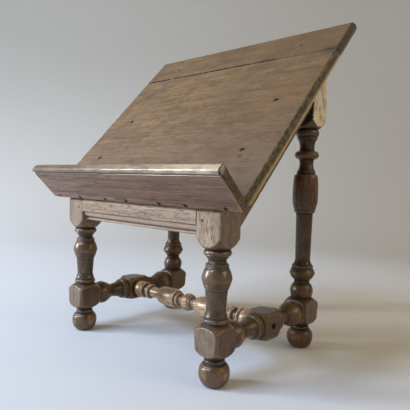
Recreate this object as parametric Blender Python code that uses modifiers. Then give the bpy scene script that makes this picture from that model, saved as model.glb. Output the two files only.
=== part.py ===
"""Tabletop lectern: a sloping plank desk with a book ledge, on four turned legs, rails and an H-stretcher.

Metres, +Z up. The reader stands at -Y. The origin is on the table top, under the middle of the
lectern's box. The frame is joined with pegged tenons, and the desk is nailed on.
"""

import math

import bmesh
import bpy
from mathutils import Vector

# Gaps between pieces
FIT = 0.0003                    # between faces that touch, and round a tenon, peg or nail
CUT_MARGIN = 0.02               # how far a cutter runs past what it cuts

# Legs
LEG_STOCK = 0.042               # side of the square stock
LEG_SPREAD_X = 0.310            # between leg centres, left to right
LEG_SPREAD_Y = 0.212            # between leg centres, front to back
FRONT_HEAD = 0.0289             # square head of a front leg above its shoulder, at its front face
BLOCK_REACH = 0.002             # how far a turned block's crest passes the corner of its stock
BLOCK_FULLNESS = 0.85           # less than 1 swells a block's shoulders, more than 1 pinches them
HEAD_FULLNESS = 0.62            # the same for the chamfer under a leg's head

# Desk
DESK_SLOPE = math.radians(46.7)
DESK_SIDE = 0.039               # from the legs' outer faces out to the desk's side edges
DESK_LENGTH = 0.384             # from the ledge's outer face to the upper end, along the face
DESK_OVERHANG = 0.0121          # from the legs' front faces out to the ledge's outer face
PLANK_THICKNESS = 0.016
TOP_PLANK_WIDTH = 0.067         # on the face; the upper end is cut level
TOP_BLUNT = 0.003               # flat left on the level cut's rear arris
ARRIS = 0.0012                  # worn edges of the planks, ledge and rails

# Book ledge
LEDGE_HEIGHT = 0.067
LEDGE_THICKNESS = 0.013
LEDGE_DROP = 0.0109             # how far its foot lies below the reading face
LEDGE_LEAN = math.radians(2)    # how far it leans in over the desk
LEDGE_FLAT = 0.0550             # plain height below the moulding
LEDGE_FILLET = 0.0022           # height of the fillet above the plain part
LEDGE_QUIRK = 0.0016            # depth of the groove under the nosing
LEDGE_STEP = 0.0006             # how far the fillet steps in from the plain part

# Rails
FRONT_RAIL_DEPTH = 0.0319       # at its front face
FRONT_RAIL_BAND = 0.0174        # plain upper band of the front rail
RAIL_THICKNESS = 0.022
RAIL_QUIRK = 0.0035             # step in under the plain band
RAIL_OVOLO_HEIGHT = 0.0085
RAIL_OVOLO_DEPTH = 0.0055
RAIL_BEAD = 0.0022              # radius of the bead along the bottom edge
REAR_RAIL_DEPTH = 0.050         # at its inner face
REAR_RAIL_INSET = 0.002         # behind the legs' rear faces
SIDE_RAIL_DEPTH = 0.0445        # square to the desk
SIDE_RAIL_THICKNESS = 0.026
SIDE_RAIL_INSET = 0.002         # inside the legs' outer faces

# Tenons of the rails
TENON_THICKNESS = 0.009
TENON_HEIGHT = 0.026
TENON_SETBACK = 0.0085          # from the rail's outer face to its tenon
RAIL_TENON_LENGTH = 0.026
SIDE_TENON_LENGTH = 0.020
TENON_RISE = 0.008              # from the rail's lower edge to its tenon

# Stretchers
STRETCHER_STOCK = 0.040
STRETCHER_BLOCK = 0.022         # half length of the block at the middle of a side stretcher
STRETCHER_TENON_RADIUS = 0.008
STRETCHER_TENON_LENGTH = 0.024
CROSS_TENON_RADIUS = 0.0048
CROSS_TENON_SUNK = 0.004        # how far the through tenon stops short of the block's outer face

# Pegs and nails
PEG_RADIUS = 0.0026
PEG_LENGTH = 0.030
PEG_INSET = 0.011               # from the joint to the peg's centre
NAIL_RADIUS = 0.0012
NAIL_HEAD_RADIUS = 0.0026
NAIL_HEAD_HEIGHT = 0.0009
NAIL_SINK = 0.0004              # how far the heads are punched below the face
NAIL_LENGTH = 0.032             # under the head
LEDGE_NAIL_RISE = 0.0045        # above the ledge's foot
# Nails along the ledge as shares of half its width, and in the planks as the distance in from
# the side rail's outer face and up the slope from the ledge's outer face
LEDGE_NAILS = (-0.90, -0.60, -0.265, -0.02, 0.325, 0.565, 0.885)
LEFT_NAILS = ((0.017, 0.089), (0.0225, 0.186))
RIGHT_NAILS = ((0.012, 0.099), (0.010, 0.203))
TOP_NAIL_MARGIN = 0.0385        # from the desk's upper end to the top plank's nails
TOP_NAIL_INSET = 0.034          # from the legs' outer faces to the top plank's nails

# Facets
LEG_SIDES = 16
STRETCHER_SIDES = 12
PIN_SIDES = 6
ROUND_STEPS = 4                 # along a bead or cove
RING_STEPS = 2                  # along a small ring
LARGE_STEPS = 6                 # along a ball, bulb or block
EVEN_STEPS = 1                  # along a straight taper

# Turned elements from the floor up: height, radius at the bottom, radius at the top, bulge, steps.
# A bulge swells into a bead and a negative one hollows into a cove.
FOOT = [
    (0.0305, 0.0100, 0.0125, 0.0097, LARGE_STEPS),      # ball
    (0.0050, 0.0130, 0.0130, 0.0012, RING_STEPS),       # lip
    (0.0015, 0.0118, 0.0118, 0.0, EVEN_STEPS),          # neck
]
LOWER_BLOCK = (0.0460, 0.0120, 0.0150)                  # height and the radii at its two ends
FRONT_TURNING = [
    (0.0070, 0.0150, 0.0155, 0.0022, RING_STEPS),       # collar bead
    (0.0020, 0.0150, 0.0150, 0.0, EVEN_STEPS),          # fillet
    (0.0105, 0.0160, 0.0133, -0.0008, RING_STEPS),      # hollow into the shaft
    (0.0245, 0.0133, 0.0150, 0.0, EVEN_STEPS),          # shaft
    (0.0140, 0.0150, 0.0200, 0.0008, RING_STEPS),       # bulb's lower part
    (0.0140, 0.0200, 0.0160, 0.0012, ROUND_STEPS),      # and its upper part
    (0.0060, 0.0157, 0.0157, 0.0, EVEN_STEPS),          # fillet
    (0.0080, 0.0157, 0.0147, -0.0031, ROUND_STEPS),     # throat
    (0.0025, 0.0147, 0.0147, 0.0, EVEN_STEPS),          # fillet
    (0.0085, 0.0150, 0.0150, 0.0039, ROUND_STEPS),      # bead under the head
]
REAR_TURNING = [
    (0.0110, 0.0165, 0.0185, 0.0004, RING_STEPS),       # bead's lower part
    (0.0105, 0.0185, 0.0145, 0.0008, RING_STEPS),       # and its upper part
    (0.0085, 0.0140, 0.0150, -0.0020, RING_STEPS),      # hollow
    (0.0095, 0.0155, 0.0207, 0.0005, RING_STEPS),       # ring's lower part
    (0.0085, 0.0207, 0.0165, 0.0005, RING_STEPS),       # and its upper part
    (0.0050, 0.0165, 0.0165, 0.0008, RING_STEPS),       # lip
    (0.0110, 0.0155, 0.0123, -0.0010, RING_STEPS),      # hollow into the shaft
    (0.0740, 0.0123, 0.0135, 0.0, EVEN_STEPS),          # shaft
    (0.0110, 0.0162, 0.0187, 0.0, EVEN_STEPS),          # collar
    (0.0510, 0.0188, 0.0178, 0.0022, ROUND_STEPS),      # drum
    (0.0060, 0.0150, 0.0147, 0.0, EVEN_STEPS),          # fillet
    (0.0190, 0.0147, 0.0130, -0.0026, ROUND_STEPS),     # throat
    (0.0130, 0.0130, 0.0130, 0.0063, ROUND_STEPS),      # ring
    (0.0180, 0.0130, 0.0150, -0.0020, ROUND_STEPS),     # hollow
    (0.0050, 0.0160, 0.0160, 0.0, EVEN_STEPS),          # fillet
    (0.0110, 0.0155, 0.0155, 0.0030, ROUND_STEPS),      # bead under the head
]
SHOULDER = (0.0195, 0.0150)                             # height and lower radius under a leg's head

# Turned elements from a stretcher's middle out to one end, written the same way
SIDE_TURNING = [
    (0.0045, 0.0170, 0.0170, 0.0018, RING_STEPS),       # first ring beside the block
    (0.0045, 0.0165, 0.0160, 0.0018, RING_STEPS),       # second ring
    (0.0230, 0.0160, 0.0118, -0.0012, ROUND_STEPS),     # bell
    (0.0020, 0.0130, 0.0130, 0.0, EVEN_STEPS),          # fillet
]
SIDE_BULB = (0.0140, 0.0170, 0.0040)                    # radii at its two ends and its bulge
CROSS_TURNING = [
    (0.0060, 0.0150, 0.0135, 0.0, EVEN_STEPS),          # half of the middle bead
    (0.0030, 0.0120, 0.0120, 0.0, EVEN_STEPS),          # fillet
    (0.0110, 0.0115, 0.0110, -0.0024, ROUND_STEPS),     # hollow
    (0.0060, 0.0112, 0.0112, 0.0012, RING_STEPS),       # ring
    (0.0420, 0.0138, 0.0132, 0.0033, LARGE_STEPS),      # barrel
    (0.0280, 0.0094, 0.0094, 0.0, EVEN_STEPS),          # shaft
    (0.0060, 0.0110, 0.0110, 0.0027, ROUND_STEPS),      # ring
    (0.0100, 0.0110, 0.0120, -0.0022, ROUND_STEPS),     # hollow
    (0.0060, 0.0120, 0.0120, 0.0030, ROUND_STEPS),      # first of a pair of rings
]
CROSS_END = (0.0125, 0.0115, 0.0030)                    # radii of the second ring and its bulge

# Places worked out from those sizes
LEG_HALF = LEG_STOCK / 2
DESK_WIDTH = LEG_SPREAD_X + LEG_STOCK + 2 * DESK_SIDE
LEG_X = LEG_SPREAD_X / 2
LEG_Y = LEG_SPREAD_Y / 2
INNER_X = LEG_X - LEG_HALF
INNER_Y = LEG_Y - LEG_HALF
FOOT_HEIGHT = sum(element[0] for element in FOOT)
STRETCHER_Z = FOOT_HEIGHT + LOWER_BLOCK[0] / 2
FRONT_SHOULDER_Z = FOOT_HEIGHT + LOWER_BLOCK[0] + sum(element[0] for element in FRONT_TURNING)
FRONT_TOP_Z = FRONT_SHOULDER_Z + SHOULDER[0] + FRONT_HEAD
SLOPE = Vector((0, math.cos(DESK_SLOPE), math.sin(DESK_SLOPE)))
LEG_FRONT = Vector((0, -LEG_Y - LEG_HALF, FRONT_TOP_Z))
# The line where the ledge's outer face meets the plane of the reading face
DESK_ORIGIN = (
    LEG_FRONT
    + Vector((0, 0, (PLANK_THICKNESS + FIT) / math.cos(DESK_SLOPE)))
    - SLOPE * (DESK_OVERHANG / math.cos(DESK_SLOPE))
)
JOINT_LINE = DESK_LENGTH - TOP_PLANK_WIDTH
SIDE_RAIL_X = LEG_X + LEG_HALF - SIDE_RAIL_INSET - SIDE_RAIL_THICKNESS / 2
# A box long enough to pass the whole lectern
REACH = DESK_WIDTH + DESK_LENGTH + LEG_SPREAD_X + LEG_SPREAD_Y


def desk_underside(y):
    """The height of the frame's sloping top, one gap under the planks, at this y."""
    return FRONT_TOP_Z + (y - LEG_FRONT.y) * math.tan(DESK_SLOPE)


def new_collection(name):
    collection = bpy.data.collections.new(name)
    bpy.context.scene.collection.children.link(collection)
    return collection


def material(name, colour, roughness, metallic=0.0):
    made = bpy.data.materials.new(name)
    made.use_nodes = True
    shader = made.node_tree.nodes["Principled BSDF"]
    shader.inputs["Base Color"].default_value = (*colour, 1)
    shader.inputs["Roughness"].default_value = roughness
    shader.inputs["Metallic"].default_value = metallic
    return made


def add_object(name, mesh, parent, finish=None):
    """A part in the lectern's collection, or a cutter when it has no finish."""
    made = bpy.data.objects.new(name, mesh)
    made.parent = parent
    if finish:
        PARTS.objects.link(made)
        mesh.materials.append(finish)
    else:
        CUTTERS.objects.link(made)
        made.hide_render = True
        made.display_type = "WIRE"
    return made


def box(name, low, high, parent, finish=None):
    """A box between two corners of its parent's frame."""
    size = Vector(high) - Vector(low)
    shape = bmesh.new()
    bmesh.ops.create_cube(shape, size=1)
    bmesh.ops.scale(shape, vec=size, verts=shape.verts)
    mesh = bpy.data.meshes.new(name)
    shape.to_mesh(mesh)
    shape.free()
    made = add_object(name, mesh, parent, finish)
    made.location = (Vector(low) + Vector(high)) / 2
    return made


def pin(name, radius, length, parent, finish=None, sides=PIN_SIDES):
    """A rod along its own Z, from its origin down."""
    shape = bmesh.new()
    bmesh.ops.create_cone(
        shape, cap_ends=True, segments=sides, radius1=radius, radius2=radius, depth=length
    )
    bmesh.ops.translate(shape, vec=(0, 0, -length / 2), verts=shape.verts)
    mesh = bpy.data.meshes.new(name)
    shape.to_mesh(mesh)
    shape.free()
    return add_object(name, mesh, parent, finish)


def bore(name, radius, length, parent, sides=PIN_SIDES):
    """A cutter whose flats clear a rod of this radius by one gap."""
    return pin(name, (radius + FIT) / math.cos(math.pi / sides), length, parent, sides=sides)


def section_bar(name, outline, width, parent, finish):
    """A bar along X whose (y, z) section is a filled 2D curve."""
    curve = bpy.data.curves.new(name, "CURVE")
    curve.dimensions = "2D"
    curve.fill_mode = "BOTH"
    curve.extrude = width / 2
    spline = curve.splines.new("POLY")
    spline.points.add(len(outline) - 1)
    for point, (y, z) in zip(spline.points, outline):
        point.co = (y, z, 0, 1)
    spline.use_cyclic_u = True
    guide = bpy.data.objects.new(name + "_guide", curve)
    bpy.context.scene.collection.objects.link(guide)
    graph = bpy.context.evaluated_depsgraph_get()
    mesh = bpy.data.meshes.new_from_object(guide.evaluated_get(graph))
    bpy.data.objects.remove(guide)
    shape = bmesh.new()
    shape.from_mesh(mesh)
    bmesh.ops.remove_doubles(shape, verts=shape.verts, dist=1e-6)
    for vertex in shape.verts:
        vertex.co = Vector((vertex.co.z, vertex.co.x, vertex.co.y))
    bmesh.ops.recalc_face_normals(shape, faces=shape.faces)
    shape.to_mesh(mesh)
    shape.free()
    return add_object(name, mesh, parent, finish)


def element_points(height, bottom, top, bulge, steps):
    """(radius, height) along one turned element, on a half ellipse over a straight taper."""
    points = []
    for step in range(steps + 1):
        angle = math.pi * step / steps
        share = (1 - math.cos(angle)) / 2
        points.append((bottom + (top - bottom) * share + bulge * math.sin(angle), height * share))
    return points


def block_points(height, bottom, top, stock):
    """A square block's turned envelope, whose crest just passes the corners of its stock."""
    rise = stock / math.sqrt(2) + BLOCK_REACH - (bottom + top) / 2
    points = []
    for step in range(LARGE_STEPS + 1):
        share = step / LARGE_STEPS
        swell = abs(math.sin(math.pi * share)) ** BLOCK_FULLNESS
        points.append((bottom + (top - bottom) * share + rise * swell, height * share))
    return points


def shoulder_points(height, start, end):
    """A full chamfer that widens from a turned neck to the corners of a square head."""
    shares = [(step / ROUND_STEPS) ** 1.5 for step in range(ROUND_STEPS + 1)]
    return [(start + (end - start) * share**HEAD_FULLNESS, height * share) for share in shares]


def stack(elements):
    """The elements' points, one above the other."""
    points = []
    base = 0.0
    for element in elements:
        points += [(radius, base + height) for radius, height in element]
        base = points[-1][1]
    return points


def turned(name, points, sides, parent, finish):
    """A solid turned about its own Z from (radius, height) points that run up its outer side."""
    profile = [(0.0, points[-1][1]), *reversed(points), (0.0, points[0][1])]
    kept = [profile[0]]
    for point in profile[1:]:
        if math.dist(point, kept[-1]) > FIT / 3:
            kept.append(point)
    mesh = bpy.data.meshes.new(name)
    edges = [(index, index + 1) for index in range(len(kept) - 1)]
    mesh.from_pydata([(radius, 0, height) for radius, height in kept], edges, [])
    made = add_object(name, mesh, parent, finish)
    screw = made.modifiers.new("Turning", "SCREW")
    screw.steps = sides
    screw.render_steps = sides
    screw.use_merge_vertices = True
    screw.merge_threshold = 0.00001
    return made


def boolean(target, other, operation="DIFFERENCE"):
    modifier = target.modifiers.new(f"{operation.title()} {other.name}", "BOOLEAN")
    modifier.operation = operation
    modifier.object = other


def soften(target):
    """Worn arrises."""
    bevel = target.modifiers.new("Worn arrises", "BEVEL")
    bevel.width = ARRIS
    bevel.segments = 1
    bevel.limit_method = "ANGLE"
    bevel.angle_limit = math.radians(40)


def leg(name, turning, side, end, parent, finish):
    """One leg, turned from square stock. Side is -1 for left and end is -1 for front."""
    corner = LEG_STOCK / math.sqrt(2) + BLOCK_REACH
    head = desk_underside(end * LEG_Y + LEG_HALF) + CUT_MARGIN
    elements = [element_points(*element) for element in FOOT]
    elements.append(block_points(*LOWER_BLOCK, LEG_STOCK))
    elements += [element_points(*element) for element in turning]
    elements.append(shoulder_points(*SHOULDER, corner))
    points = stack(elements)
    points.append((corner, head))
    made = turned(name, points, LEG_SIDES, parent, finish)
    made.location = (side * LEG_X, end * LEG_Y, 0)
    low = (side * LEG_X - LEG_HALF, end * LEG_Y - LEG_HALF, -CUT_MARGIN)
    high = (side * LEG_X + LEG_HALF, end * LEG_Y + LEG_HALF, head + CUT_MARGIN)
    boolean(made, box(name + "_stock", low, high, parent), "INTERSECT")
    return made


def moulded_section():
    """The front rail's (y, z) outline: a plain band over a quirk, an ovolo and a bead."""
    front = LEG_FRONT.y
    back = front + RAIL_THICKNESS
    bottom = FRONT_TOP_Z - FRONT_RAIL_DEPTH
    band_foot = FRONT_TOP_Z - FRONT_RAIL_BAND
    angles = [math.pi / 2 * step / ROUND_STEPS for step in range(ROUND_STEPS + 1)]
    ovolo = [
        (
            front + RAIL_QUIRK + RAIL_OVOLO_DEPTH * (1 - math.cos(angle)),
            band_foot - RAIL_OVOLO_HEIGHT * math.sin(angle),
        )
        for angle in angles
    ]
    bead_centre = (front + RAIL_QUIRK + RAIL_OVOLO_DEPTH + RAIL_BEAD / 2, bottom + RAIL_BEAD)
    sweep = [math.radians(110 + 160 * step / ROUND_STEPS) for step in range(ROUND_STEPS + 1)]
    bead = [
        (bead_centre[0] + RAIL_BEAD * math.cos(a), bead_centre[1] + RAIL_BEAD * math.sin(a))
        for a in sweep
    ]
    return [
        (front, desk_underside(front)),
        (front, band_foot),
        *ovolo,
        *bead,
        (back, bottom),
        (back, desk_underside(back)),
    ]


def ledge_section():
    """The ledge's outline from its outer foot: a plain face, a fillet, a quirk and a round nosing."""
    quirk_z = LEDGE_FLAT + LEDGE_STEP + LEDGE_FILLET + LEDGE_QUIRK / 2
    nose = LEDGE_HEIGHT - quirk_z
    swell = [math.radians(90 + 135 * step / LARGE_STEPS) for step in range(LARGE_STEPS + 1)]
    top = [
        (nose / 2 * (1 + math.cos(a)), LEDGE_HEIGHT - nose / 2 + nose / 2 * math.sin(a))
        for a in swell
    ]
    return [
        (0, 0),
        (LEDGE_THICKNESS, 0),
        (LEDGE_THICKNESS, LEDGE_HEIGHT),
        *top,
        (LEDGE_QUIRK, quirk_z),
        (LEDGE_STEP, quirk_z - LEDGE_QUIRK / 2),
        (LEDGE_STEP, LEDGE_FLAT + LEDGE_STEP),
        (0, LEDGE_FLAT),
    ]


def add_legs(parent, finish):
    made = {}
    for end, place, turning in ((-1, "front", FRONT_TURNING), (1, "rear", REAR_TURNING)):
        for side, hand in ((-1, "left"), (1, "right")):
            name = f"{place}_{hand}_leg"
            made[side, end] = leg(name, turning, side, end, parent, finish)
    return made


def add_cross_rail(name, outline, tenon_y, tenon_z, legs, parent, finish):
    """A rail along X between two legs, with a tenon let into each of them."""
    rail = section_bar(name, outline, 2 * (INNER_X - FIT), parent, finish)
    soften(rail)
    tip = INNER_X + RAIL_TENON_LENGTH
    low = Vector((-tip, tenon_y, tenon_z))
    high = Vector((tip, tenon_y + TENON_THICKNESS, tenon_z + TENON_HEIGHT))
    boolean(rail, box(name + "_tenons", low, high, parent), "UNION")
    gap = Vector((FIT, FIT, FIT))
    mortise = box(name + "_mortises", low - gap, high + gap, parent)
    for post in legs:
        boolean(post, mortise)
    return rail


def add_pegs(place, rail, legs, face_y, inward, peg_z, parent, finish):
    """Two pegs driven from the legs' faces through the rail's tenons."""
    for side, hand, post in zip((-1, 1), ("left", "right"), legs):
        name = f"{place}_rail_{hand}_peg"
        peg_x = side * (INNER_X + PEG_INSET)
        peg = pin(name, PEG_RADIUS, PEG_LENGTH, parent, finish)
        hole = bore(name + "_hole", PEG_RADIUS, PEG_LENGTH + FIT + CUT_MARGIN, parent)
        peg.location = (peg_x, face_y, peg_z)
        hole.location = (peg_x, face_y - inward * CUT_MARGIN, peg_z)
        for target in (peg, hole):
            target.rotation_euler.x = inward * math.pi / 2
        for target in (rail, post):
            boolean(target, hole)


def add_side_rail(hand, side, legs, parent, finish):
    """A sloping rail under one side of the desk, tenoned into the front and the rear leg."""
    name = f"{hand}_side_rail"
    end_y = INNER_Y - FIT
    drop = SIDE_RAIL_DEPTH / math.cos(DESK_SLOPE)
    outline = [
        (-end_y, desk_underside(-end_y)),
        (-end_y, desk_underside(-end_y) - drop),
        (end_y, desk_underside(end_y) - drop),
        (end_y, desk_underside(end_y)),
    ]
    rail = section_bar(name, outline, SIDE_RAIL_THICKNESS, parent, finish)
    rail.location.x = side * SIDE_RAIL_X
    soften(rail)
    for end, post in zip((-1, 1), legs):
        face = end * INNER_Y
        tip = face + end * SIDE_TENON_LENGTH
        root = face - end * SIDE_RAIL_THICKNESS / 2
        foot = desk_underside(face) - drop + TENON_RISE
        low = Vector((side * SIDE_RAIL_X - TENON_THICKNESS / 2, min(root, tip), foot))
        high = Vector((side * SIDE_RAIL_X + TENON_THICKNESS / 2, max(root, tip), foot + TENON_HEIGHT))
        boolean(rail, box(f"{name}_tenon_{end}", low, high, parent), "UNION")
        gap = Vector((FIT, FIT, FIT))
        boolean(post, box(f"{name}_mortise_{end}", low - gap, high + gap, parent))
    return rail


def add_side_stretcher(hand, side, legs, parent, finish):
    """A turned stretcher along Y with a square block at its middle and round tenons."""
    name = f"{hand}_side_stretcher"
    reach = INNER_Y - FIT
    corner = STRETCHER_STOCK / math.sqrt(2) + BLOCK_REACH
    first = SIDE_TURNING[0][1]
    bulb_length = reach - STRETCHER_BLOCK - sum(element[0] for element in SIDE_TURNING)
    half = [[(radius, STRETCHER_BLOCK - height) for radius, height in
             reversed(shoulder_points(STRETCHER_BLOCK, first, corner))]]
    half += [element_points(*element) for element in SIDE_TURNING]
    half.append(element_points(bulb_length, *SIDE_BULB, LARGE_STEPS))
    half.append([(STRETCHER_TENON_RADIUS, 0.0), (STRETCHER_TENON_RADIUS, STRETCHER_TENON_LENGTH)])
    points = stack(half)
    whole = [(radius, -height) for radius, height in reversed(points)] + points[1:]
    stretcher = turned(name, whole, STRETCHER_SIDES, parent, finish)
    stretcher.location = (side * LEG_X, 0, STRETCHER_Z)
    stretcher.rotation_euler.x = -math.pi / 2
    side_half = STRETCHER_STOCK / 2
    low = (side * LEG_X - side_half, -REACH / 2, STRETCHER_Z - side_half)
    high = (side * LEG_X + side_half, REACH / 2, STRETCHER_Z + side_half)
    boolean(stretcher, box(name + "_stock", low, high, parent), "INTERSECT")
    length = 2 * (reach + STRETCHER_TENON_LENGTH + FIT)
    mortise = bore(name + "_mortises", STRETCHER_TENON_RADIUS, length, parent, STRETCHER_SIDES)
    mortise.location = (side * LEG_X, length / 2, STRETCHER_Z)
    mortise.rotation_euler.x = -math.pi / 2
    for post in legs:
        boolean(post, mortise)
    return stretcher


def add_cross_stretcher(stretchers, parent, finish):
    """The turned bar along X, whose tenons pass through the side stretchers' blocks."""
    reach = LEG_X - STRETCHER_STOCK / 2 - FIT
    end_length = reach - sum(element[0] for element in CROSS_TURNING)
    tip = LEG_X + STRETCHER_STOCK / 2 - CROSS_TENON_SUNK - reach
    half = [element_points(*element) for element in CROSS_TURNING]
    half.append(element_points(end_length, *CROSS_END, ROUND_STEPS))
    half.append([(CROSS_TENON_RADIUS, 0.0), (CROSS_TENON_RADIUS, tip)])
    points = stack(half)
    whole = [(radius, -height) for radius, height in reversed(points)] + points[1:]
    made = turned("cross_stretcher", whole, STRETCHER_SIDES, parent, finish)
    made.location.z = STRETCHER_Z
    made.rotation_euler.y = math.pi / 2
    hole = bore("cross_stretcher_mortises", CROSS_TENON_RADIUS, REACH, parent, STRETCHER_SIDES)
    hole.location = (REACH / 2, 0, STRETCHER_Z)
    hole.rotation_euler.y = math.pi / 2
    for stretcher in stretchers:
        boolean(stretcher, hole)


def nail(name, place, turn_x, board, through, parent, finish):
    """A nail along its own Z, its head punched into a board and its shank driven on through others."""
    seat = NAIL_HEAD_HEIGHT + NAIL_SINK
    points = [
        (NAIL_RADIUS, -NAIL_LENGTH),
        (NAIL_RADIUS, 0.0),
        (NAIL_HEAD_RADIUS, 0.0),
        (NAIL_HEAD_RADIUS / 2, NAIL_HEAD_HEIGHT),
    ]
    made = turned(name, points, PIN_SIDES, parent, finish)
    depth = CUT_MARGIN + seat + FIT
    recess = bore(name + "_recess", NAIL_HEAD_RADIUS, depth, parent)
    hole = bore(name + "_hole", NAIL_RADIUS, depth + NAIL_LENGTH, parent)
    for target, lift in ((made, -seat), (recess, CUT_MARGIN), (hole, CUT_MARGIN)):
        target.rotation_euler.x = turn_x
        target.location = Vector(place) + target.rotation_euler.to_matrix() @ Vector((0, 0, lift))
    boolean(board, recess)
    for target in (board, *through):
        boolean(target, hole)


def add_desk(desk, finish):
    """The two planks, in the desk's own frame: Y up the slope and Z out of the reading face."""
    lean = math.tan(LEDGE_LEAN)
    inner = LEDGE_THICKNESS / math.cos(LEDGE_LEAN) + FIT / math.cos(LEDGE_LEAN)
    lower_end = inner + LEDGE_DROP * lean
    outline = [
        (lower_end, 0),
        (lower_end - PLANK_THICKNESS * lean, -PLANK_THICKNESS),
        (JOINT_LINE - FIT / 2, -PLANK_THICKNESS),
        (JOINT_LINE - FIT / 2, 0),
    ]
    main = section_bar("main_plank", outline, DESK_WIDTH, desk, finish)
    cut = PLANK_THICKNESS / math.tan(DESK_SLOPE)
    blunt = TOP_BLUNT / math.tan(DESK_SLOPE)
    outline = [
        (JOINT_LINE + FIT / 2, 0),
        (JOINT_LINE + FIT / 2, -PLANK_THICKNESS),
        (DESK_LENGTH + cut - blunt, -PLANK_THICKNESS),
        (DESK_LENGTH + cut - blunt, TOP_BLUNT - PLANK_THICKNESS),
        (DESK_LENGTH, 0),
    ]
    top = section_bar("top_plank", outline, DESK_WIDTH, desk, finish)
    soften(main)
    soften(top)
    return main, top


def add_ledge(desk, finish):
    """The book ledge, nailed to the main plank's lower end and leaning in over the desk."""
    ledge = section_bar("book_ledge", ledge_section(), DESK_WIDTH, desk, finish)
    ledge.location = (0, 0, -LEDGE_DROP)
    ledge.rotation_euler.x = -LEDGE_LEAN
    soften(ledge)
    return ledge


def centre_over_floor(root, parts):
    """Moves the whole lectern so that its box is centred over the origin and stands on z = 0."""
    bpy.context.view_layer.update()
    graph = bpy.context.evaluated_depsgraph_get()
    corners = []
    for part in parts:
        evaluated = part.evaluated_get(graph)
        mesh = evaluated.to_mesh()
        corners += [evaluated.matrix_world @ vertex.co for vertex in mesh.vertices]
        evaluated.to_mesh_clear()
    for axis in (0, 1):
        values = [corner[axis] for corner in corners]
        root.location[axis] -= (min(values) + max(values)) / 2
    root.location.z -= min(corner.z for corner in corners)


def smooth(parts):
    for part in parts:
        part.data.shade_smooth()
        part.data.set_sharp_from_angle(angle=math.radians(35))


def build():
    root = bpy.data.objects.new("lectern_frame", None)
    desk = bpy.data.objects.new("desk_frame", None)
    for empty in (root, desk):
        PARTS.objects.link(empty)
    desk.parent = root
    desk.location = DESK_ORIGIN
    desk.rotation_euler.x = DESK_SLOPE

    walnut = material("Dark turned walnut", (0.085, 0.055, 0.033), 0.42)
    oak = material("Pale worn oak", (0.36, 0.29, 0.21), 0.55)
    desk_wood = material("Grey brown plank", (0.24, 0.19, 0.14), 0.5)
    ledge_wood = material("Purple brown ledge", (0.17, 0.13, 0.115), 0.48)
    peg_wood = material("Dark peg", (0.06, 0.045, 0.03), 0.6)
    iron = material("Forged iron", (0.03, 0.027, 0.025), 0.6, 0.9)

    legs = add_legs(root, walnut)
    front_legs = (legs[-1, -1], legs[1, -1])
    rear_legs = (legs[-1, 1], legs[1, 1])

    front_face = LEG_FRONT.y
    front_tenon_z = FRONT_TOP_Z - FRONT_RAIL_DEPTH + TENON_RISE
    front_rail = add_cross_rail("front_rail", moulded_section(), front_face + TENON_SETBACK,
                                front_tenon_z, front_legs, root, oak)
    rear_face = LEG_Y + LEG_HALF
    rail_back = rear_face - REAR_RAIL_INSET
    rail_front = rail_back - RAIL_THICKNESS
    rail_bottom = desk_underside(rail_front) - REAR_RAIL_DEPTH
    rear_outline = [
        (rail_front, desk_underside(rail_front)),
        (rail_front, rail_bottom),
        (rail_back, rail_bottom),
        (rail_back, desk_underside(rail_back)),
    ]
    rear_tenon_z = rail_bottom + TENON_RISE
    rear_tenon_y = rail_back - TENON_SETBACK - TENON_THICKNESS
    rear_rail = add_cross_rail("rear_rail", rear_outline, rear_tenon_y, rear_tenon_z,
                               rear_legs, root, desk_wood)
    add_pegs("front", front_rail, front_legs, front_face, 1,
             front_tenon_z + TENON_HEIGHT / 2, root, peg_wood)
    add_pegs("rear", rear_rail, rear_legs, rear_face, -1,
             rear_tenon_z + TENON_HEIGHT / 2, root, peg_wood)

    side_rails = []
    stretchers = []
    for side, hand in ((-1, "left"), (1, "right")):
        posts = (legs[side, -1], legs[side, 1])
        side_rails.append(add_side_rail(hand, side, posts, root, desk_wood))
        stretchers.append(add_side_stretcher(hand, side, posts, root, walnut))
    add_cross_stretcher(stretchers, root, walnut)

    main, top = add_desk(desk, desk_wood)
    ledge = add_ledge(desk, ledge_wood)
    desk_cut = box("desk_cut", (-REACH, -REACH, -PLANK_THICKNESS - FIT), (REACH, REACH, REACH), desk)
    for post in legs.values():
        boolean(post, desk_cut)

    outer_x = LEG_X + LEG_HALF
    plank_nails = zip((-1, 1), ("left", "right"), side_rails, (LEFT_NAILS, RIGHT_NAILS))
    for side, hand, rail, places in plank_nails:
        under = (rail, legs[side, -1], legs[side, 1])
        for row, (inset, rise) in enumerate(places, 1):
            place = (side * (outer_x - SIDE_RAIL_INSET - inset), rise, 0)
            nail(f"main_plank_{hand}_nail_{row}", place, 0, main, under, desk, iron)
        place = (side * (outer_x - TOP_NAIL_INSET), DESK_LENGTH - TOP_NAIL_MARGIN, 0)
        nail(f"top_plank_{hand}_nail", place, 0, top, under, desk, iron)
    for row, share in enumerate(LEDGE_NAILS, 1):
        place = (share * DESK_WIDTH / 2, 0, LEDGE_NAIL_RISE)
        nail(f"ledge_nail_{row}", place, math.pi / 2, ledge, [main], ledge, iron)

    parts = [part for part in PARTS.objects if part.type == "MESH"]
    smooth(parts)
    centre_over_floor(root, parts)


for old in list(bpy.data.objects):
    bpy.data.objects.remove(old)
PARTS = new_collection("tabletop_lectern")
CUTTERS = new_collection("cutters")
build()
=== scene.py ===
# %% [markdown]
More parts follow.
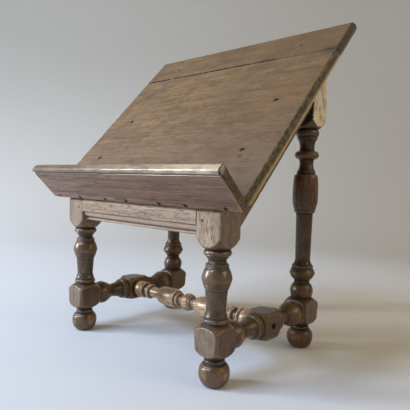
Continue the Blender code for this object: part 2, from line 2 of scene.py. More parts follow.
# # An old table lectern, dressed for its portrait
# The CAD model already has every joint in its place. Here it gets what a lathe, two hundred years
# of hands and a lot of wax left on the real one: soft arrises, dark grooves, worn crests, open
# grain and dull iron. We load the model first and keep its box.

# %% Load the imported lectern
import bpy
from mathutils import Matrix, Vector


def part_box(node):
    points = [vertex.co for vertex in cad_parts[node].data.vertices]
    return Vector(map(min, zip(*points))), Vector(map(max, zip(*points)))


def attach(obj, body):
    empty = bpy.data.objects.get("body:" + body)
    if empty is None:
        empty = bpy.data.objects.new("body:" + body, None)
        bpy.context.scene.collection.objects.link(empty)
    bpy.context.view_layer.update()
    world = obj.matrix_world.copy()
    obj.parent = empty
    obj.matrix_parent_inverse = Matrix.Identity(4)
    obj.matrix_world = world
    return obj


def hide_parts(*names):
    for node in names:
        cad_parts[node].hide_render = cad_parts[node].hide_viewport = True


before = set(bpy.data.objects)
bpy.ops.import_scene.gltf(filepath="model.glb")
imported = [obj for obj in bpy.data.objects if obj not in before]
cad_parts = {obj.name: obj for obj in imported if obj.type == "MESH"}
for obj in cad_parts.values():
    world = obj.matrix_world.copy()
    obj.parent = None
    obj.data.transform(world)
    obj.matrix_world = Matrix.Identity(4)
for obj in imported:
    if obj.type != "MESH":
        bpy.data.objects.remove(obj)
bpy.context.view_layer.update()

# %% [markdown]
# ## The sizes that everything hangs on
# A leg's square stock gives most of the lectern: rails stop at its faces and the desk lies on the
# legs' sloping tops. We could type every coordinate, but reading the legs' boxes from the loaded
# model and working the rest out means that our pieces land where the joiner put the CAD ones. All
# lengths are in metres.

# %% Stock, slope and the desk's own frame
import math
import bpy
import numpy as np
from mathutils import Matrix, Vector, kdtree, noise

GAP = 0.0003
STOCK = 0.042
SLOPE = math.radians(46.7)
PLANK = 0.016
DESK_WIDTH = 0.430
DESK_LENGTH = 0.384
JOINT_LINE = DESK_LENGTH - 0.067
LEAN = math.radians(2)
LEDGE_DROP = 0.0109
LEDGE_THICK = 0.013
LEDGE_HIGH = 0.067
OVERHANG = 0.0121
FOOT_HIGH = 0.037
BLOCK_HIGH = 0.046
FRONT_TURNED = 0.097
SHOULDER_HIGH = 0.0195
FRONT_HEAD = 0.0289

def middle(node):
    low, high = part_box(node)
    return (Vector(low) + Vector(high)) / 2

LEG_X = middle("front_right_leg").x
FRONT_Y = middle("front_right_leg").y
REAR_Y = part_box("rear_right_leg")[0][1] + STOCK / 2
MIDDLE_Y = (FRONT_Y + REAR_Y) / 2
STRETCHER_Z = middle("cross_stretcher").z
FRONT_FACE = FRONT_Y - STOCK / 2
FRONT_TOP = FOOT_HIGH + BLOCK_HIGH + FRONT_TURNED + SHOULDER_HIGH + FRONT_HEAD
UP_SLOPE = Vector((0, math.cos(SLOPE), math.sin(SLOPE)))
OUT_OF_FACE = Vector((0, -math.sin(SLOPE), math.cos(SLOPE)))
DESK_ORIGIN = (Vector((0, FRONT_FACE, FRONT_TOP + (PLANK + GAP) / math.cos(SLOPE)))
               - UP_SLOPE * OVERHANG / math.cos(SLOPE))

def underside(y):
    """The height of the legs' sloping tops at this y."""
    return FRONT_TOP + (y - FRONT_FACE) * math.tan(SLOPE)

print("legs at", round(LEG_X, 4), round(FRONT_Y, 4), round(REAR_Y, 4), "desk from", DESK_ORIGIN[:])

# %% [markdown]
# ## The camera
# The photograph was taken from the lectern's right front corner, low enough that the desk shows
# more of its face than of its thickness. The camera stands a little above the height of the front
# rail, looks down three degrees and is tipped less than two, as a hand-held one is. We build its
# axes from those angles, which is easier to read than a rotation in quaternions.

# %% Place the camera
LENS = 40.12
SENSOR = 36
CAMERA_PLACE = (0.54359, FRONT_Y - 0.44440, 0.26799)
yaw, dip, tip = math.radians(42.95), math.radians(3.01), math.radians(1.67)
ahead = Vector((-math.sin(yaw) * math.cos(dip), math.cos(yaw) * math.cos(dip), -math.sin(dip)))
level = Vector((math.cos(yaw), math.sin(yaw), 0))
upward = level.cross(ahead)
right = level * math.cos(tip) + upward * math.sin(tip)
upright = upward * math.cos(tip) - level * math.sin(tip)
bpy.ops.object.select_all(action="DESELECT")
bpy.ops.object.camera_add()
camera = bpy.context.object
camera.data.lens = LENS
camera.data.sensor_width = SENSOR
camera.matrix_world = Matrix((right, upright, -ahead)).transposed().to_4x4()
camera.location = CAMERA_PLACE
bpy.context.scene.camera = camera
print("camera at", [round(v, 3) for v in camera.location])

# %% [markdown]
# ## Writing a finish as sums
# A wood finish is a recipe: some grain, less where it is rubbed, more in the grooves. In the node
# editor that is dozens of Math nodes. Instead, one small class wraps a socket so that plus, minus
# and times on it add those nodes, and one method makes every other node. The colour is built up as
# a painter would, ground first and then thin layers, each with its share of the surface.

# %% A socket that can be added and multiplied
class Wire:
    """One output of a finish's nodes. Arithmetic with it adds Math nodes."""

    def __init__(self, finish, socket):
        self.finish = finish
        self.socket = socket

    def sum(self, operation, first, second=0.0, clamp=False):
        return self.finish.node("ShaderNodeMath", {"operation": operation, "use_clamp": clamp},
                                {0: first, 1: second})

    def __add__(self, other):
        return self.sum("ADD", self, other)

    __radd__ = __add__

    def __sub__(self, other):
        return self.sum("SUBTRACT", self, other)

    def __rsub__(self, other):
        return self.sum("SUBTRACT", other, self)

    def __mul__(self, other):
        return self.sum("MULTIPLY", self, other)

    __rmul__ = __mul__

    def size(self):
        """The same value without its sign."""
        return self.sum("ABSOLUTE", self)

    def held(self):
        """The same value, kept between 0 and 1."""
        return self.sum("ADD", self, 0.0, clamp=True)

    def over(self, low, high):
        """0 up to low, 1 from high on, and smooth between. It falls where low is the greater."""
        return self.finish.node("ShaderNodeMapRange", {"interpolation_type": "SMOOTHSTEP"},
                                {"Value": self, "From Min": low, "From Max": high})

print("Wire adds:", [name for name in dir(Wire) if name.startswith("__r")])

# %% Colours in 0 to 255
def tint(red, green, blue):
    """A colour given in 0 to 255, as the linear values that Blender mixes."""
    shares = [value / 255 for value in (red, green, blue)]
    return (*[s / 12.92 if s < 0.04045 else ((s + 0.055) / 1.055) ** 2.4 for s in shares], 1)

print("a middle grey is", round(tint(128, 128, 128)[0], 3), "in linear light")

# %% A finish and its nodes
class Finish:
    """A material on object coordinates, turned so that X runs along the grain."""

    def __init__(self, name, turn=(0, 0, 0), shift=(0, 0, 0)):
        self.material = bpy.data.materials.new(name)
        self.material.use_nodes = True
        self.tree = self.material.node_tree
        self.shader = self.tree.nodes["Principled BSDF"]
        self.where = self.place(turn, shift)

    def node(self, kind, settings, sockets, output=0):
        """A node of this kind: its settings first, then its sockets' values or links."""
        made = self.tree.nodes.new(kind)
        for name, value in settings.items():
            setattr(made, name, value)
        for name, value in sockets.items():
            self.feed(made.inputs[name], value)
        return Wire(self, made.outputs[output])

    def feed(self, socket, value):
        if isinstance(value, Wire):
            self.tree.links.new(value.socket, socket)
        else:
            socket.default_value = value

    def place(self, turn, shift=(0, 0, 0)):
        where = self.node("ShaderNodeTexCoord", {}, {}, "Object")
        return self.node("ShaderNodeMapping", {},
                         {"Vector": where, "Rotation": turn, "Location": shift})

    def cloud(self, stretch, detail=2.0, rough=0.5, twist=0.0, where=None):
        """Noise whose cells are 1 / stretch metres long on each axis."""
        spread = self.node("ShaderNodeVectorMath", {"operation": "MULTIPLY"},
                           {0: where or self.where, 1: stretch})
        return self.node("ShaderNodeTexNoise", {}, {"Vector": spread, "Scale": 1.0, "Detail": detail,
                                                   "Roughness": rough, "Distortion": twist})

    def mark(self, name):
        """A number that was painted on the piece's points."""
        return self.node("ShaderNodeAttribute", {"attribute_name": name}, {}, "Fac")

    def parts(self):
        """The place's x, y and z."""
        first = self.node("ShaderNodeSeparateXYZ", {}, {0: self.where})
        return [Wire(self, output) for output in first.socket.node.outputs]

    def bump(self, height, depth):
        return self.node("ShaderNodeBump", {}, {"Height": height, "Distance": depth})

    def mix(self, share, first, second):
        """The first colour, and the second where the share is 1. Plain ones are in 0 to 255."""
        first, second = (c if isinstance(c, Wire) else tint(*c) for c in (first, second))
        return self.node("ShaderNodeMix", {"data_type": "RGBA"}, {0: share, 6: first, 7: second}, 2)

    def ground(self, share, dark, pale):
        """Starts the finish's colour."""
        self.tone = self.mix(share, dark, pale)

    def lay(self, share, colour):
        """Lays a colour over what is there, as far as the share says."""
        self.tone = self.mix(share, self.tone, colour)

    def wear(self, sockets):
        """Feeds the colour and these sockets to the shader, and gives the material."""
        for name, value in {"Base Color": self.tone, **sockets}.items():
            self.feed(self.shader.inputs[name], value)
        return self.material

print("one finish starts with", len(Finish("trial").tree.nodes), "nodes")
bpy.data.materials.remove(bpy.data.materials["trial"])

# %% [markdown]
# ## Oak, before the wax
# All of the lectern is oak. Its grain has three sizes: broad bands a hand long, fine fibres a
# millimetre or two across, and short dark pores that look like pencil dashes. An image of oak
# would repeat and stretch round the turnings. Noise that is squeezed across the grain and long
# along it never repeats, and the same recipe turns with each piece.

# %% Three sizes of grain
def oak_grain(finish):
    """Broad bands, fine fibres and dark pores, with X along the grain."""
    bands = finish.cloud((3.0, 70, 70), 4, 0.55, 0.4)
    fibres = finish.cloud((14, 520, 520), 4, 0.65, 0.2)
    pores = finish.cloud((75, 1050, 1050), 2, 0.6)
    return bands, fibres, pores.over(0.60, 0.70)

ALONG_X = (0, 0, 0)
ALONG_Y = (0, 0, -math.pi / 2)
ALONG_Z = (0, math.pi / 2, 0)
ALONG_SLOPE = (-SLOPE, 0, -math.pi / 2)
ON_DESK = (-SLOPE, 0, 0)
to_desk = Matrix.Rotation(-SLOPE, 3, "X")
desk_shift = tuple(-(to_desk @ DESK_ORIGIN))
print("the desk's own frame starts at", [round(v, 4) for v in desk_shift])

# %% Nail places on the desk and the ledge
def on_desk(node):
    """Where a CAD nail lies on the flat desk, as (x, y)."""
    place = to_desk @ (middle(node) - DESK_ORIGIN)
    return place.x, place.y

PLANK_NAILS = {
    "main_plank": [f"main_plank_{hand}_nail_{row}" for hand in ("left", "right") for row in (1, 2)],
    "top_plank": [f"top_plank_{hand}_nail" for hand in ("left", "right")],
}
LEDGE_NAILS = [f"ledge_nail_{row}" for row in range(1, 8)]
NAIL_RISE = 0.0045
NAIL_HEAD = 0.0026
NAIL_DEEP = 0.0017
NAIL_SINK = 0.0004
for node in PLANK_NAILS["main_plank"] + PLANK_NAILS["top_plank"]:
    print(node, [round(v, 4) for v in on_desk(node)])

# %% [markdown]
# ## Waxed turnings
# The legs and stretchers are nearly black-brown where wax and dust have gathered in the grooves,
# and rubbed to a warm mid brown on every crest and arris. Some flat faces were never waxed and are
# bare and pale; on the front legs the fronts get more of that than the sides, which is painted light
# on the fronts and painted shade on the sides, and the rear legs' head fronts get painted shade.
# Those three marks are painted on the points of each turned piece when it is made, as "grime",
# "worn" and "bare_and_lit". The finish reads them and adds grain. A thick glossy coat would look
# like varnish, so most of the sheen is the wood's own, a little warm, under a very thin coat.

# %% The turned wood's finish
def turned_finish(name, turn, shine, dark, mid, rubbed,
                  bare_dark=(130, 107, 86), bare_pale=(188, 166, 140)):
    finish = Finish(name, turn)
    bands, fibres, pores = oak_grain(finish)
    patches = finish.cloud((14, 30, 30), 3, 0.6)
    smudges = finish.cloud((70, 100, 100), 4, 0.65)
    grit = finish.cloud((150, 640, 640), 3, 0.7)
    dashes = finish.cloud((80, 640, 640), 3, 0.6)
    flecks = finish.cloud((110, 360, 360), 3, 0.65)
    worn, grime, bare_and_lit = (finish.mark(kind) for kind in ("worn", "grime", "bare_and_lit"))
    finish.ground((bands * 0.3 + fibres * 0.2 + grit * 0.5).over(0.42, 0.58), dark, mid)
    finish.lay(patches.over(0.46, 0.62) * 0.45, (102, 61, 36))
    finish.lay(patches.over(0.50, 0.38) * 0.45, (70, 55, 32))
    finish.lay(smudges.over(0.50, 0.64) * 0.45, (34, 23, 13))
    finish.lay(flecks.over(0.54, 0.62) * 0.45, (30, 19, 10))
    finish.lay(flecks.over(0.44, 0.36) * 0.35, (122, 93, 62))
    bare = finish.mix((fibres * 0.3 + bands * 0.3 + grit * 0.4).over(0.34, 0.66), bare_dark, bare_pale)
    bare = finish.mix(smudges.over(0.48, 0.66) * 0.45, bare, (126, 84, 50))
    bare = finish.mix(dashes.over(0.54, 0.64) * bare_and_lit * 0.65, bare, (84, 60, 40))
    # Pale bare wood by the bare_and_lit mark, which also paints light on the front legs' fronts and
    # shade on their sides.
    finish.lay((bare_and_lit * (0.6 + patches * 0.7)).held(), bare)
    rub = (worn * (0.25 + smudges.over(0.35, 0.62) * 0.75) * (0.6 + grit * 0.6)).held()
    finish.lay(rub * 0.85, rubbed)
    finish.lay((pores * 0.45 + dashes.over(0.58, 0.68) * 0.35).held(), (32, 21, 12))
    # Grime in the grooves, and painted shade on the rear heads' front faces.
    finish.lay((grime * 0.9).held(), (20, 12, 7))
    cracks = dashes.over(0.54, 0.64) * (bare_and_lit + 0.3)
    height = fibres * 0.3 + grit * 0.5 - pores * 0.5 - cracks * 0.6 + smudges * 0.8
    wax = 1.0 - grime * 0.4 - bare_and_lit * 0.9 - smudges.over(0.46, 0.62) * 0.4
    return finish.wear({
        "Roughness": (0.20 + smudges * 0.18 + grit * 0.08 + grime * 0.3 + bare_and_lit * 0.4).held(),
        "Normal": finish.bump(height, 0.00018),
        "Coat Weight": (wax * shine * 0.2).held(),
        "Coat Roughness": 0.14,
        "Specular IOR Level": 0.95 * shine,
        "Specular Tint": (1.0, 0.86, 0.68, 1),
    })

# %% Four turned finishes, from the dark front legs to the pale cross stretcher
leg_finish = turned_finish("waxed_turned_oak_front", ALONG_Z, 1.0,
                           (24, 13, 7), (66, 40, 22), (164, 122, 82))
rear_leg_finish = turned_finish("waxed_turned_oak_rear", ALONG_Z, 0.55,
                                (32, 19, 11), (76, 49, 29), (142, 104, 68),
                                (220, 200, 166), (244, 230, 202))
side_finish = turned_finish("waxed_turned_oak_side", ALONG_Y, 0.7,
                            (38, 26, 15), (92, 66, 41), (172, 134, 92))
# The cross stretcher's pale tones are partly painted light, for the low light that it catches.
cross_finish = turned_finish("waxed_turned_oak_cross", ALONG_X, 1.0,
                             (148, 107, 70), (226, 186, 144), (246, 220, 184))
print("turned finishes:", leg_finish.name, rear_leg_finish.name, side_finish.name, cross_finish.name)

# %% [markdown]
# ## Boards
# The desk's planks have greyed where sleeves and books rubbed the wax away, with warm yellow
# islands where it stayed. The finish works in the desk's own frame, so that streaks follow the
# boards and the darker right end can be placed in millimetres.

# %% Helpers: sawn ends and stains
HALF_DESK = DESK_WIDTH / 2

def end_grain(finish, along, depth, stretch, dark, pale):
    """How much a point lies on a sawn end, and the ends' speckled colour, paler with depth."""
    on_end = along.size().over(HALF_DESK - 0.0034, HALF_DESK - 0.0012)
    specks = finish.cloud(stretch, 4, 0.7)
    # Paler with depth: painted shade on the shallow part of each end and painted light on the deep
    # part, along with some wear.
    paler = (specks.over(0.42, 0.62) * 0.2 + depth.over(0.0095, 0.0155) * 0.8).held()
    return on_end, finish.mix(paler, dark, pale)

def near(along, up, x, y, inner, outer, squash=1.0):
    """1 at a place on the desk, 0 beyond the outer distance. A squash below 1 draws it out."""
    aside, away = (along - x) * squash, up - y
    return (aside * aside + away * away).over(outer * outer, inner * inner)

print("the sawn ends are at", HALF_DESK, "on both sides")

# %% The desk's finish
def desk_finish():
    finish = Finish("greyed_oak_planks", ON_DESK, desk_shift)
    along, up, out = finish.parts()
    bands, fibres, pores = oak_grain(finish)
    islands = finish.cloud((8, 15, 15), 4, 0.6, 0.6)
    streaks = finish.cloud((5, 170, 170), 4, 0.65, 0.3)
    lines = finish.cloud((3.5, 330, 330), 3, 0.6, 0.2)
    scuffs = finish.cloud((26, 46, 46), 5, 0.7)
    spots = finish.cloud((80, 120, 120), 2, 0.5)
    grime = finish.mark("grime")
    mottle = finish.cloud((70, 210, 210), 4, 0.7)
    finish.ground((bands * 0.2 + fibres * 0.3 + streaks * 0.2 + mottle * 0.3).over(0.41, 0.59),
                  (97, 73, 51), (141, 114, 84))
    finish.lay(islands.over(0.46, 0.66) * 0.45, (136, 100, 59))
    finish.lay(islands.over(0.50, 0.36) * 0.5, (98, 67, 45))
    finish.lay(up.over(0.20, 0.03) * 0.55, (138, 113, 92))
    finish.lay(scuffs.over(0.48, 0.64) * 0.5, (88, 61, 41))
    finish.lay(scuffs.over(0.46, 0.32) * 0.3, (150, 124, 94))
    finish.lay(spots.over(0.66, 0.72) * 0.35, (158, 106, 56))
    finish.lay(lines.over(0.56, 0.66) * 0.45, (66, 47, 32))
    finish.lay(pores * 0.45, (60, 44, 31))
    # Darker towards the right end.
    finish.lay(along.over(-0.12, 0.215) * 0.42, (84, 64, 48))
    finish.lay(up.over(JOINT_LINE, JOINT_LINE + 0.001) * 0.3, (82, 62, 44))
    seam = 1 - (up - JOINT_LINE).size().over(0.0014, 0.0024)
    gaps = finish.cloud((38, 0, 0), 3, 0.6).over(0.40, 0.47)
    filled = along.over(0.100, 0.112) * along.over(0.202, 0.196)
    finish.lay((seam * gaps * 1.2).held(), finish.mix(filled * 0.7, (6, 4, 2), (104, 85, 64)))
    for node in PLANK_NAILS["main_plank"]:
        stain = near(along, up, *on_desk(node), 0.0016, 0.0048, 0.7)
        finish.lay(stain * (0.35 + scuffs * 0.7), (34, 27, 24))
    nail_x, nail_y = on_desk("main_plank_right_nail_1")
    plug = near(along, up, nail_x + 0.003, nail_y - 0.013, 0.0012, 0.0042)
    finish.lay(plug * 0.7, (52, 34, 23))
    damp = near(along, up, HALF_DESK - 0.006, JOINT_LINE - 0.002, 0.002, 0.016, 0.6)
    finish.lay(damp * (0.3 + scuffs * 0.6), (46, 44, 46))
    on_end, ends = end_grain(finish, along, 0 - out, (300, 110, 300), (50, 40, 25), (204, 180, 132))
    ends = finish.mix(up.over(JOINT_LINE, JOINT_LINE + 0.001) * 0.7, ends, (50, 43, 33))
    finish.lay(on_end, ends)
    finish.lay((grime * 0.9).held(), (40, 32, 24))
    height = (fibres * 0.5 + streaks * 0.4 - pores * 0.7 - lines.over(0.58, 0.68) * 0.6
              - seam * gaps * 2.0)
    return finish.wear({
        "Roughness": (0.42 + scuffs * 0.2 + pores * 0.15 - islands * 0.1 + seam * 0.4).held(),
        "Normal": finish.bump(height, 0.00024),
        "Coat Weight": (0.08 - seam * 0.08).held(),
        "Coat Roughness": 0.35,
        "Specular Tint": (1.0, 0.86, 0.66, 1),
    })

plank_finish = desk_finish()
print("desk finish:", plank_finish.name, len(plank_finish.node_tree.nodes), "nodes")

# %% The ledge's finish
def ledge_finish():
    finish = Finish("purple_brown_oak_ledge", ON_DESK, desk_shift)
    along, up, out = finish.parts()
    rightward = along.over(-0.15, 0.20)
    bands, fibres, pores = oak_grain(finish)
    scuffs = finish.cloud((24, 60, 60), 4, 0.7)
    dashes = finish.cloud((30, 420, 420), 3, 0.6)
    worn = finish.mark("worn")
    grime = finish.mark("grime")
    finish.ground((bands * 0.5 + fibres * 0.5).over(0.36, 0.64), (90, 63, 49), (158, 125, 103))
    finish.lay(scuffs.over(0.50, 0.66) * 0.5, (122, 86, 62))
    finish.lay(scuffs.over(0.48, 0.34) * 0.4, (74, 52, 42))
    finish.lay((pores * 0.5 + dashes.over(0.55, 0.65) * 0.65).held(), (54, 36, 29))
    scores = finish.cloud((22, 700, 700), 2, 0.5, where=finish.place((0, 0.9, 0)))
    finish.lay(scores.over(0.66, 0.72) * rightward * 0.6, (56, 40, 34))
    finish.lay(along.over(-0.10, 0.21) * 0.3, (92, 62, 48))
    nosing = out.over(0.0455, 0.0480)
    # The nosing: some real wear all along, a painted highlight that grows towards the right end, and
    # painted darker towards the left end, where that highlight is missing.
    rubbed = (nosing * (0.1 + rightward * 0.25 + scuffs.over(0.40, 0.60) * (0.2 + rightward * 0.5))).held()
    finish.lay(rubbed, (200, 178, 148))
    finish.lay(nosing * (0.7 - rightward * 0.7), (92, 70, 50))
    rub = (worn * scuffs.over(0.38, 0.66)).held()
    finish.lay(rub * 0.5, (176, 148, 112))
    on_end, ends = end_grain(finish, along, LEDGE_THICK - up, (300, 300, 60),
                             (54, 41, 25), (186, 160, 112))
    for node in LEDGE_NAILS:
        stain = near(along, out, middle(node).x, NAIL_RISE - LEDGE_DROP, 0.0018, 0.0046, 0.8)
        finish.lay(stain * (0.35 + scuffs * 0.7), (32, 24, 20))
    finish.lay(on_end, finish.mix(nosing * 0.8, ends, (56, 42, 29)))
    finish.lay((grime * 0.95).held(), (30, 21, 16))
    height = fibres * 0.5 - pores * 0.9 - dashes.over(0.56, 0.66) * 0.8 + scuffs * 0.3
    polish = nosing * (0.1 + rightward * 0.9) * scuffs.over(0.36, 0.58)
    return finish.wear({
        "Roughness": (0.36 + scuffs * 0.34 + pores * 0.2 - nosing * 0.2).held(),
        "Normal": finish.bump(height, 0.00025),
        "Coat Weight": (0.1 + polish).held(),
        "Coat Roughness": 0.2,
        "Specular Tint": (1.0, 0.88, 0.70, 1),
    })

book_ledge_finish = ledge_finish()
print("ledge finish:", book_ledge_finish.name)

# %% The rails' finish
def rail_finish(name, turn, dark, pale, fleck, rubbed):
    """Dry oak with pencil-dash pores."""
    finish = Finish(name, turn)
    bands, fibres, pores = oak_grain(finish)
    dashes = finish.cloud((70, 520, 520), 3, 0.6)
    scuffs = finish.cloud((22, 50, 50), 4, 0.7)
    worn = finish.mark("worn")
    grime = finish.mark("grime")
    finish.ground((bands * 0.5 + fibres * 0.5).over(0.36, 0.64), dark, pale)
    finish.lay(scuffs.over(0.50, 0.72) * 0.4, rubbed)
    finish.lay((dashes.over(0.53, 0.66) * 0.6 + pores * 0.35).held(), fleck)
    moulded = finish.mark("moulded")
    finish.lay(moulded * (0.4 + scuffs * 0.5), (186, 146, 112))
    finish.lay((worn * scuffs.over(0.35, 0.65)).held() * 0.6, (206, 186, 156))
    finish.lay((grime * 0.9).held(), (40, 29, 20))
    height = fibres * 0.5 - pores * 0.7 - dashes.over(0.53, 0.64) * 0.8
    return finish.wear({
        "Roughness": (0.48 + scuffs * 0.2 + dashes * 0.1).held(),
        "Normal": finish.bump(height, 0.0003),
        "Coat Weight": (0.06 + moulded * 0.8).held(),
        "Coat Roughness": 0.35,
    })

front_rail_finish = rail_finish("dry_pale_oak", ALONG_X,
                                (128, 105, 82), (176, 154, 125), (74, 53, 37), (142, 102, 68))
side_rail_finish = rail_finish("shaded_oak_side", ALONG_SLOPE,
                               (76, 58, 40), (112, 90, 64), (44, 32, 22), (100, 72, 46))
rear_rail_finish = rail_finish("shaded_oak_rear", ALONG_X,
                               (82, 63, 44), (118, 95, 68), (46, 34, 24), (106, 78, 50))
print("rail finishes:", front_rail_finish.name, side_rail_finish.name, rear_rail_finish.name)

# %% [markdown]
# ## Iron and pegs
# The nails are hand-forged and have rusted to a dull black-brown. One head on the top plank is
# hidden under wax, so it gets the board's colours. The pegs are split oak that shows its dark end
# grain. All are small, so two sizes of noise are enough.

# %% The nails' and pegs' finishes
def iron_finish(name, dark, rusty, metal):
    finish = Finish(name)
    rust = finish.cloud((420, 420, 420), 4, 0.7)
    pits = finish.cloud((1500, 1500, 1500), 3, 0.6)
    finish.ground(rust.over(0.42, 0.66), dark, rusty)
    return finish.wear({
        "Roughness": (0.45 + rust * 0.4).held(),
        "Normal": finish.bump(pits + rust, 0.0002),
        "Metallic": (metal * (1.0 - rust * 0.8)).held(),
    })

def peg_finish():
    finish = Finish("peg_end_grain")
    rings = finish.cloud((900, 300, 900), 3, 0.6)
    dirt = finish.cloud((300, 300, 300), 3, 0.6)
    finish.ground(rings.over(0.40, 0.62), (48, 37, 27), (104, 82, 58))
    finish.lay(dirt.over(0.50, 0.66) * 0.6, (36, 27, 20))
    return finish.wear({"Roughness": (0.5 + dirt * 0.3).held(), "Normal": finish.bump(rings, 0.0003)})

nail_iron = iron_finish("forged_iron", (34, 30, 28), (74, 52, 38), 0.85)
waxed_iron = iron_finish("waxed_over_iron", (100, 76, 54), (128, 98, 68), 0.0)
peg_wood = peg_finish()
print("small finishes:", nail_iron.name, waxed_iron.name, peg_wood.name)

# %% [markdown]
# ## Drawing with one vertex
# A turned leg is a line spun round, and a moulding is a line pushed along. So both begin the same
# way: one vertex, extruded from point to point until it has drawn the line. Typing the mesh in
# would do it too, but this is how it is drawn by hand, with E and a number for each move.

# %% Draw a line through points
def edit_mode():
    bpy.ops.object.mode_set(mode="EDIT")

def object_mode():
    bpy.ops.object.mode_set(mode="OBJECT")

def select_points(action="SELECT"):
    bpy.ops.mesh.select_all(action=action)

def clear_selection():
    if bpy.context.mode != "OBJECT":
        object_mode()
    bpy.ops.object.select_all(action="DESELECT")

def pick(piece):
    """Makes this piece the only selected one and the active one."""
    clear_selection()
    piece.select_set(True)
    bpy.context.view_layer.objects.active = piece

def name_new(name):
    """Names the piece that an operator just added."""
    piece = bpy.context.object
    piece.name = name
    piece.data.name = name
    return piece

def draw(name, points):
    """A new piece in edit mode: one vertex extruded through these points."""
    clear_selection()
    bpy.ops.mesh.primitive_plane_add(size=0.002, location=(0, 0, 0))
    piece = name_new(name)
    edit_mode()
    bpy.ops.mesh.merge(type="CENTER")
    bpy.ops.transform.translate(value=points[0])
    for here, there in zip(points, points[1:]):
        step = Vector(there) - Vector(here)
        bpy.ops.mesh.extrude_region_move(TRANSFORM_OT_translate={"value": step})
    return piece

print("pen ready")

# %% Close a mesh, spin a line, move and turn a piece
def close_up():
    """Merges doubles and turns every face outwards, on the piece in edit mode."""
    select_points()
    bpy.ops.mesh.remove_doubles(threshold=0.000004)
    bpy.ops.mesh.normals_make_consistent(inside=False)

def spin_round(steps):
    """Spins the line in edit mode once about Z, closes its seam and poles, and leaves edit mode."""
    select_points()
    bpy.ops.mesh.spin(steps=steps, angle=2 * math.pi, center=(0, 0, 0), axis=(0, 0, 1))
    close_up()
    object_mode()

def move_all(by):
    select_points()
    bpy.ops.transform.translate(value=by)

def turn_all(angle, axis):
    select_points()
    bpy.ops.transform.rotate(value=angle, orient_axis=axis, center_override=(0, 0, 0))

print("lathe and bench ready")

# %% Read and write a piece's points
def points_of(piece):
    flat = np.empty(len(piece.data.vertices) * 3)
    piece.data.vertices.foreach_get("co", flat)
    return flat.reshape(-1, 3)

def set_points(piece, points):
    piece.data.vertices.foreach_set("co", points.ravel())
    piece.data.update()

def paint(piece, name, values):
    """Keeps one number for each point of the piece, for its finish to read."""
    mark = piece.data.attributes.get(name) or piece.data.attributes.new(name, "FLOAT", "POINT")
    mark.data.foreach_set("value", np.clip(values, 0, 1).astype(np.float32))

def rumple(points, size, seed):
    """Smooth noise from -1 to 1 at each point, with lumps of this size."""
    shift = Vector((seed * 3.7, seed * 1.3, -seed * 2.1))
    return np.array([noise.noise(Vector(point) / size + shift) for point in points])

print("points ready")

# %% [markdown]
# ## What the turner cut
# Each leg is a stack of shapes that a turner would name: ball, neck, block, bead, fillet, shaft,
# bulb, throat. A bulge swells the line into a bead, and a negative one hollows it into a cove. Two
# kinds go by name: a block rises past its square stock at both ends, and a shoulder at one. The
# stack is sampled every quarter of a millimetre and blurred a little, as wear blurs a real arris,
# and then only the points that matter are kept.

# %% The turned shapes: height, lower radius, upper radius, bulge
def past_corner(stock):
    """A radius that clears the corners of this square stock."""
    return stock / math.sqrt(2) + 0.002

CORNER = past_corner(STOCK)

FOOT = [
    (0.0305, 0.0100, 0.0125, 0.0097),       # ball
    (0.0050, 0.0130, 0.0130, 0.0012),       # lip
    (0.0015, 0.0118, 0.0118, 0.0),          # neck
]
BLOCK = [(BLOCK_HIGH, 0.0120, 0.0150, "block")]
FRONT_STACK = [
    (0.0070, 0.0150, 0.0155, 0.0022),       # collar bead
    (0.0020, 0.0150, 0.0150, 0.0),          # fillet
    (0.0105, 0.0160, 0.0133, -0.0008),      # hollow into the shaft
    (0.0245, 0.0133, 0.0150, 0.0),          # shaft
    (0.0140, 0.0150, 0.0200, 0.0008),       # bulb's lower part
    (0.0140, 0.0200, 0.0160, 0.0012),       # and its upper part
    (0.0060, 0.0157, 0.0157, 0.0),          # fillet
    (0.0080, 0.0157, 0.0147, -0.0031),      # throat
    (0.0025, 0.0147, 0.0147, 0.0),          # fillet
    (0.0085, 0.0150, 0.0150, 0.0039),       # bead under the head
]
REAR_STACK = [
    (0.0110, 0.0165, 0.0185, 0.0004),       # bead's lower part
    (0.0105, 0.0185, 0.0145, 0.0008),       # and its upper part
    (0.0085, 0.0140, 0.0150, -0.0020),      # hollow
    (0.0095, 0.0155, 0.0207, 0.0005),       # ring's lower part
    (0.0085, 0.0207, 0.0165, 0.0005),       # and its upper part
    (0.0050, 0.0165, 0.0165, 0.0008),       # lip
    (0.0110, 0.0155, 0.0123, -0.0010),      # hollow into the shaft
    (0.0740, 0.0123, 0.0135, 0.0),          # shaft
    (0.0110, 0.0162, 0.0187, 0.0),          # collar
    (0.0510, 0.0188, 0.0178, 0.0022),       # drum
    (0.0060, 0.0150, 0.0147, 0.0),          # fillet
    (0.0190, 0.0147, 0.0130, -0.0026),      # throat
    (0.0130, 0.0130, 0.0130, 0.0063),       # ring
    (0.0180, 0.0130, 0.0150, -0.0020),      # hollow
    (0.0050, 0.0160, 0.0160, 0.0),          # fillet
    (0.0110, 0.0155, 0.0155, 0.0030),       # bead under the head
]
SHOULDER = [(SHOULDER_HIGH, 0.0150, CORNER, "shoulder")]
print("turned cuts, front and rear:", len(FRONT_STACK), len(REAR_STACK))

# %% Sample a stack and soften it
STEP = 0.00025
SHOULDER_CURVE = 0.62
BLOCK_RISE = 0.27  # share of a block that each of its turned ends takes
ARRIS_BLUR = 0.0004
SCORE_WIDTH = 0.0006

def blur(values, width, ends="edge"):
    reach = int(4 * width / STEP)
    kernel = np.exp(-0.5 * (np.arange(-reach, reach + 1) * STEP / width) ** 2)
    padded = np.pad(values, reach, mode=ends)
    return np.convolve(padded, kernel / kernel.sum(), mode="valid")

def tall(stack):
    return sum(cut[0] for cut in stack)

